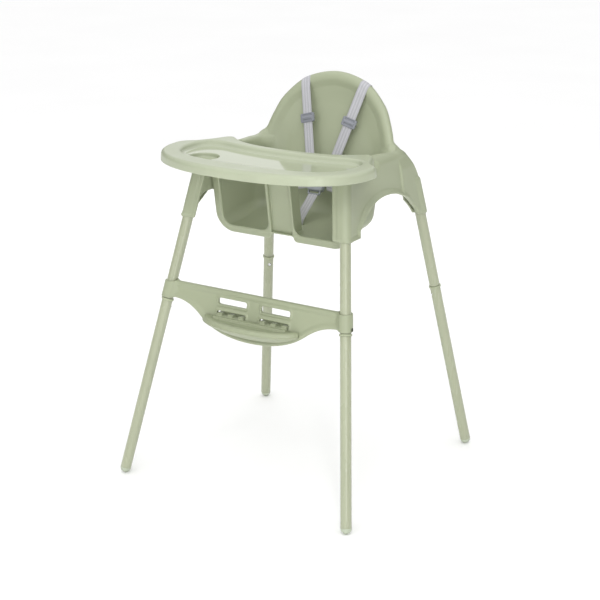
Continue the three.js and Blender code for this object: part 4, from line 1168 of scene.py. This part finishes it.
ANCHOR_Z = 857.0
for side, sign in SIDES:
    width = np.array((1, 0, -sign * SLANT)) / math.hypot(1, SLANT)
    ob = strap(f"shoulder_webbing_{side}", shoulder_run(sign), width, conform=seat_field)
    place(ob, f"shoulder_strap_{side}")

    along = np.array((sign * SLANT, STRAP_LEAN, 1.0))
    along /= np.linalg.norm(along)
    face = np.cross(width, along)
    at = (sign * strap_x(ADJUST_Z), strap_y(ADJUST_Z), ADJUST_Z)
    small_piece(f"shoulder_slider_{side}", adjuster_field, at, (width, along, face), (20, 12.5, 6.0), 0.55,
                f"shoulder_adjuster_{side}", SLIDER, f"adjuster_{side}")

    at = (sign * strap_x(ANCHOR_Z), CREST + OVER - 2.0, ANCHOR_Z - 6.5)
    small_piece(f"shoulder_anchor_plate_{side}", plate_field(16, 7.5, 2.6), at, (X, Z, Y), (17.5, 9, 4), 0.8,
                f"shoulder_anchor_{side}")
    at = (sign * WAIST_X, 118.35, WAIST_Z)
    small_piece(f"waist_anchor_plate_{side}", plate_field(7, 17, 2.0), at, (X, Z, Y), (8.5, 18.5, 3.5), 0.8,
                f"waist_anchor_{side}")

    place(strap(f"waist_webbing_{side}", waist_run(sign), Z), f"waist_strap_{side}")
    small_piece(f"harness_tongue_{side}", tongue_field(sign), BUCKLE, (X, UP, OUT), (45, 31, 4.5), 0.7,
                f"buckle_tongue_{side}", HARNESS)

small_piece("harness_buckle", buckle_field, BUCKLE, (X, UP, OUT), (24, 31, 9.5), 0.7,
            "buckle_body", HARNESS)
small_piece("harness_buckle_button", button_field, BUCKLE, (X, UP, OUT), (11, 11, 11), 0.5,
            "buckle_button", HARNESS, "buckle_press")
crotch = [(CROTCH_Y, 583.4), (CROTCH_Y, 591), (-9.6, 598), (-4, 605), (12, 618), (34, 634), (54.4, 650.2)]
ob = strap("crotch_webbing", [(0, y, z) for y, z in crotch], X, thick=3.4)
place(ob, "crotch_strap")
small_piece("crotch_retainer_plate", plate_field(17, 25, 2.75), (0, -29, 580.25), (X, Y, Z), (18.5, 26.5, 4),
            0.8, "crotch_retainer")


# ---- build: springs and locks carried over from the frame ----
def repaint(ob, material):
    ob.data.materials.clear()
    ob.data.materials.append(material)


def leaf_spring(name, node):
    """The folded leaf behind a button, copied from the frame's spring and repainted in spring steel."""
    leaf = new_object(name.replace("spring", "leaf"), node.data.copy())
    repaint(leaf, SPRING)
    place(leaf, name)
    press = next(joint for joint in frame["joints"] if joint["name"] == name.replace("spring", "push"))
    inward = Vector(press["axis"])
    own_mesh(leaf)


for name, node in list(frame["nodes"].items()):
    if name.startswith(("snap_spring", "socket_spring")):
        leaf_spring(name, node)
    elif name.startswith("socket_button"):
        repaint(node, CHROME)

# ---- floor, light and camera ----
floor_mat, tree, shader = new_material("floor")
set_inputs(shader, Roughness=0.9, Specular_IOR_Level=0.1)
cloud = spread(tree, noise(tree, position(tree), 1.5, 2.0), 0.0, 1.0)
link(tree, mix(tree, cloud, (0.96, 0.96, 0.96), (0.975, 0.975, 0.975)), shader.inputs["Base Color"])
FLOOR_HALF, FLOOR_DROP = 25000, -0.4
SQUARE = ((-1, -1), (1, -1), (1, 1), (-1, 1))
floor_corners = [(FLOOR_HALF * u, FLOOR_HALF * v, FLOOR_DROP) for u, v in SQUARE]
mesh_object("floor", floor_corners, [(0, 1, 2, 3)], floor_mat, smooth=False)

world = bpy.data.worlds.new("studio")
world.use_nodes = True
tree = world.node_tree
toward = tree.nodes.new("ShaderNodeTexCoord").outputs["Generated"]
facing = tree.nodes.new("ShaderNodeVectorMath")
facing.operation = "DOT_PRODUCT"
facing.inputs[1].default_value = (0.3, -0.95, 0.0)
link(tree, toward, facing.inputs[0])
around = spread(tree, facing.outputs["Value"], 0.0, 0.88, 0.25, 0.95)
overhead = spread(tree, split_xyz(tree, toward)["Z"], 0.0, 1.0, 0.3, 0.8)
link(tree, mix_values(tree, overhead, around, 1.42), tree.nodes["Background"].inputs["Strength"])
tree.nodes["Background"].inputs["Color"].default_value = (1, 1, 1, 1)
bpy.context.scene.world = world


def softbox(name, at, aim, size, power):
    data = bpy.data.lights.new(name, "AREA")
    data.shape = "RECTANGLE"
    data.size, data.size_y = size
    data.energy = power
    ob = new_object(name, data)
    ob.location = at
    ob.rotation_euler = (Vector(aim) - Vector(at)).to_track_quat("-Z", "Y").to_euler()


softbox("key", (1.5, -2.6, 3.2), (0, 0, 0.6), (1.2, 1.2), 22)
softbox("front_strip", (2.0, -2.6, 0.95), (0, 0, 0.6), (0.3, 1.7), 19)
softbox("left_strip", (-0.6, -3.3, 1.6), (0, 0, 0.6), (0.25, 2.0), 9)
softbox("card", (-1.6, 2.6, 1.75), (0, 0, 0.7), (2.6, 1.3), 12)

AZIMUTH, ELEVATION = math.radians(32.41), math.radians(17.92)
TARGET = Vector((-0.00149, 0.0, 0.404))
DISTANCE = 3.6476
camera_data = bpy.data.cameras.new("camera")
camera_data.lens = 92.19
camera_data.sensor_width = 36.0
camera = new_object("camera", camera_data)
level = math.cos(ELEVATION)
offset = Vector((math.sin(AZIMUTH) * level, -math.cos(AZIMUTH) * level, math.sin(ELEVATION)))
camera.location = TARGET + DISTANCE * offset
camera.rotation_euler = (-offset).to_track_quat("-Z", "Y").to_euler()
bpy.context.scene.camera = camera
bpy.context.scene.view_settings.view_transform = "Standard"
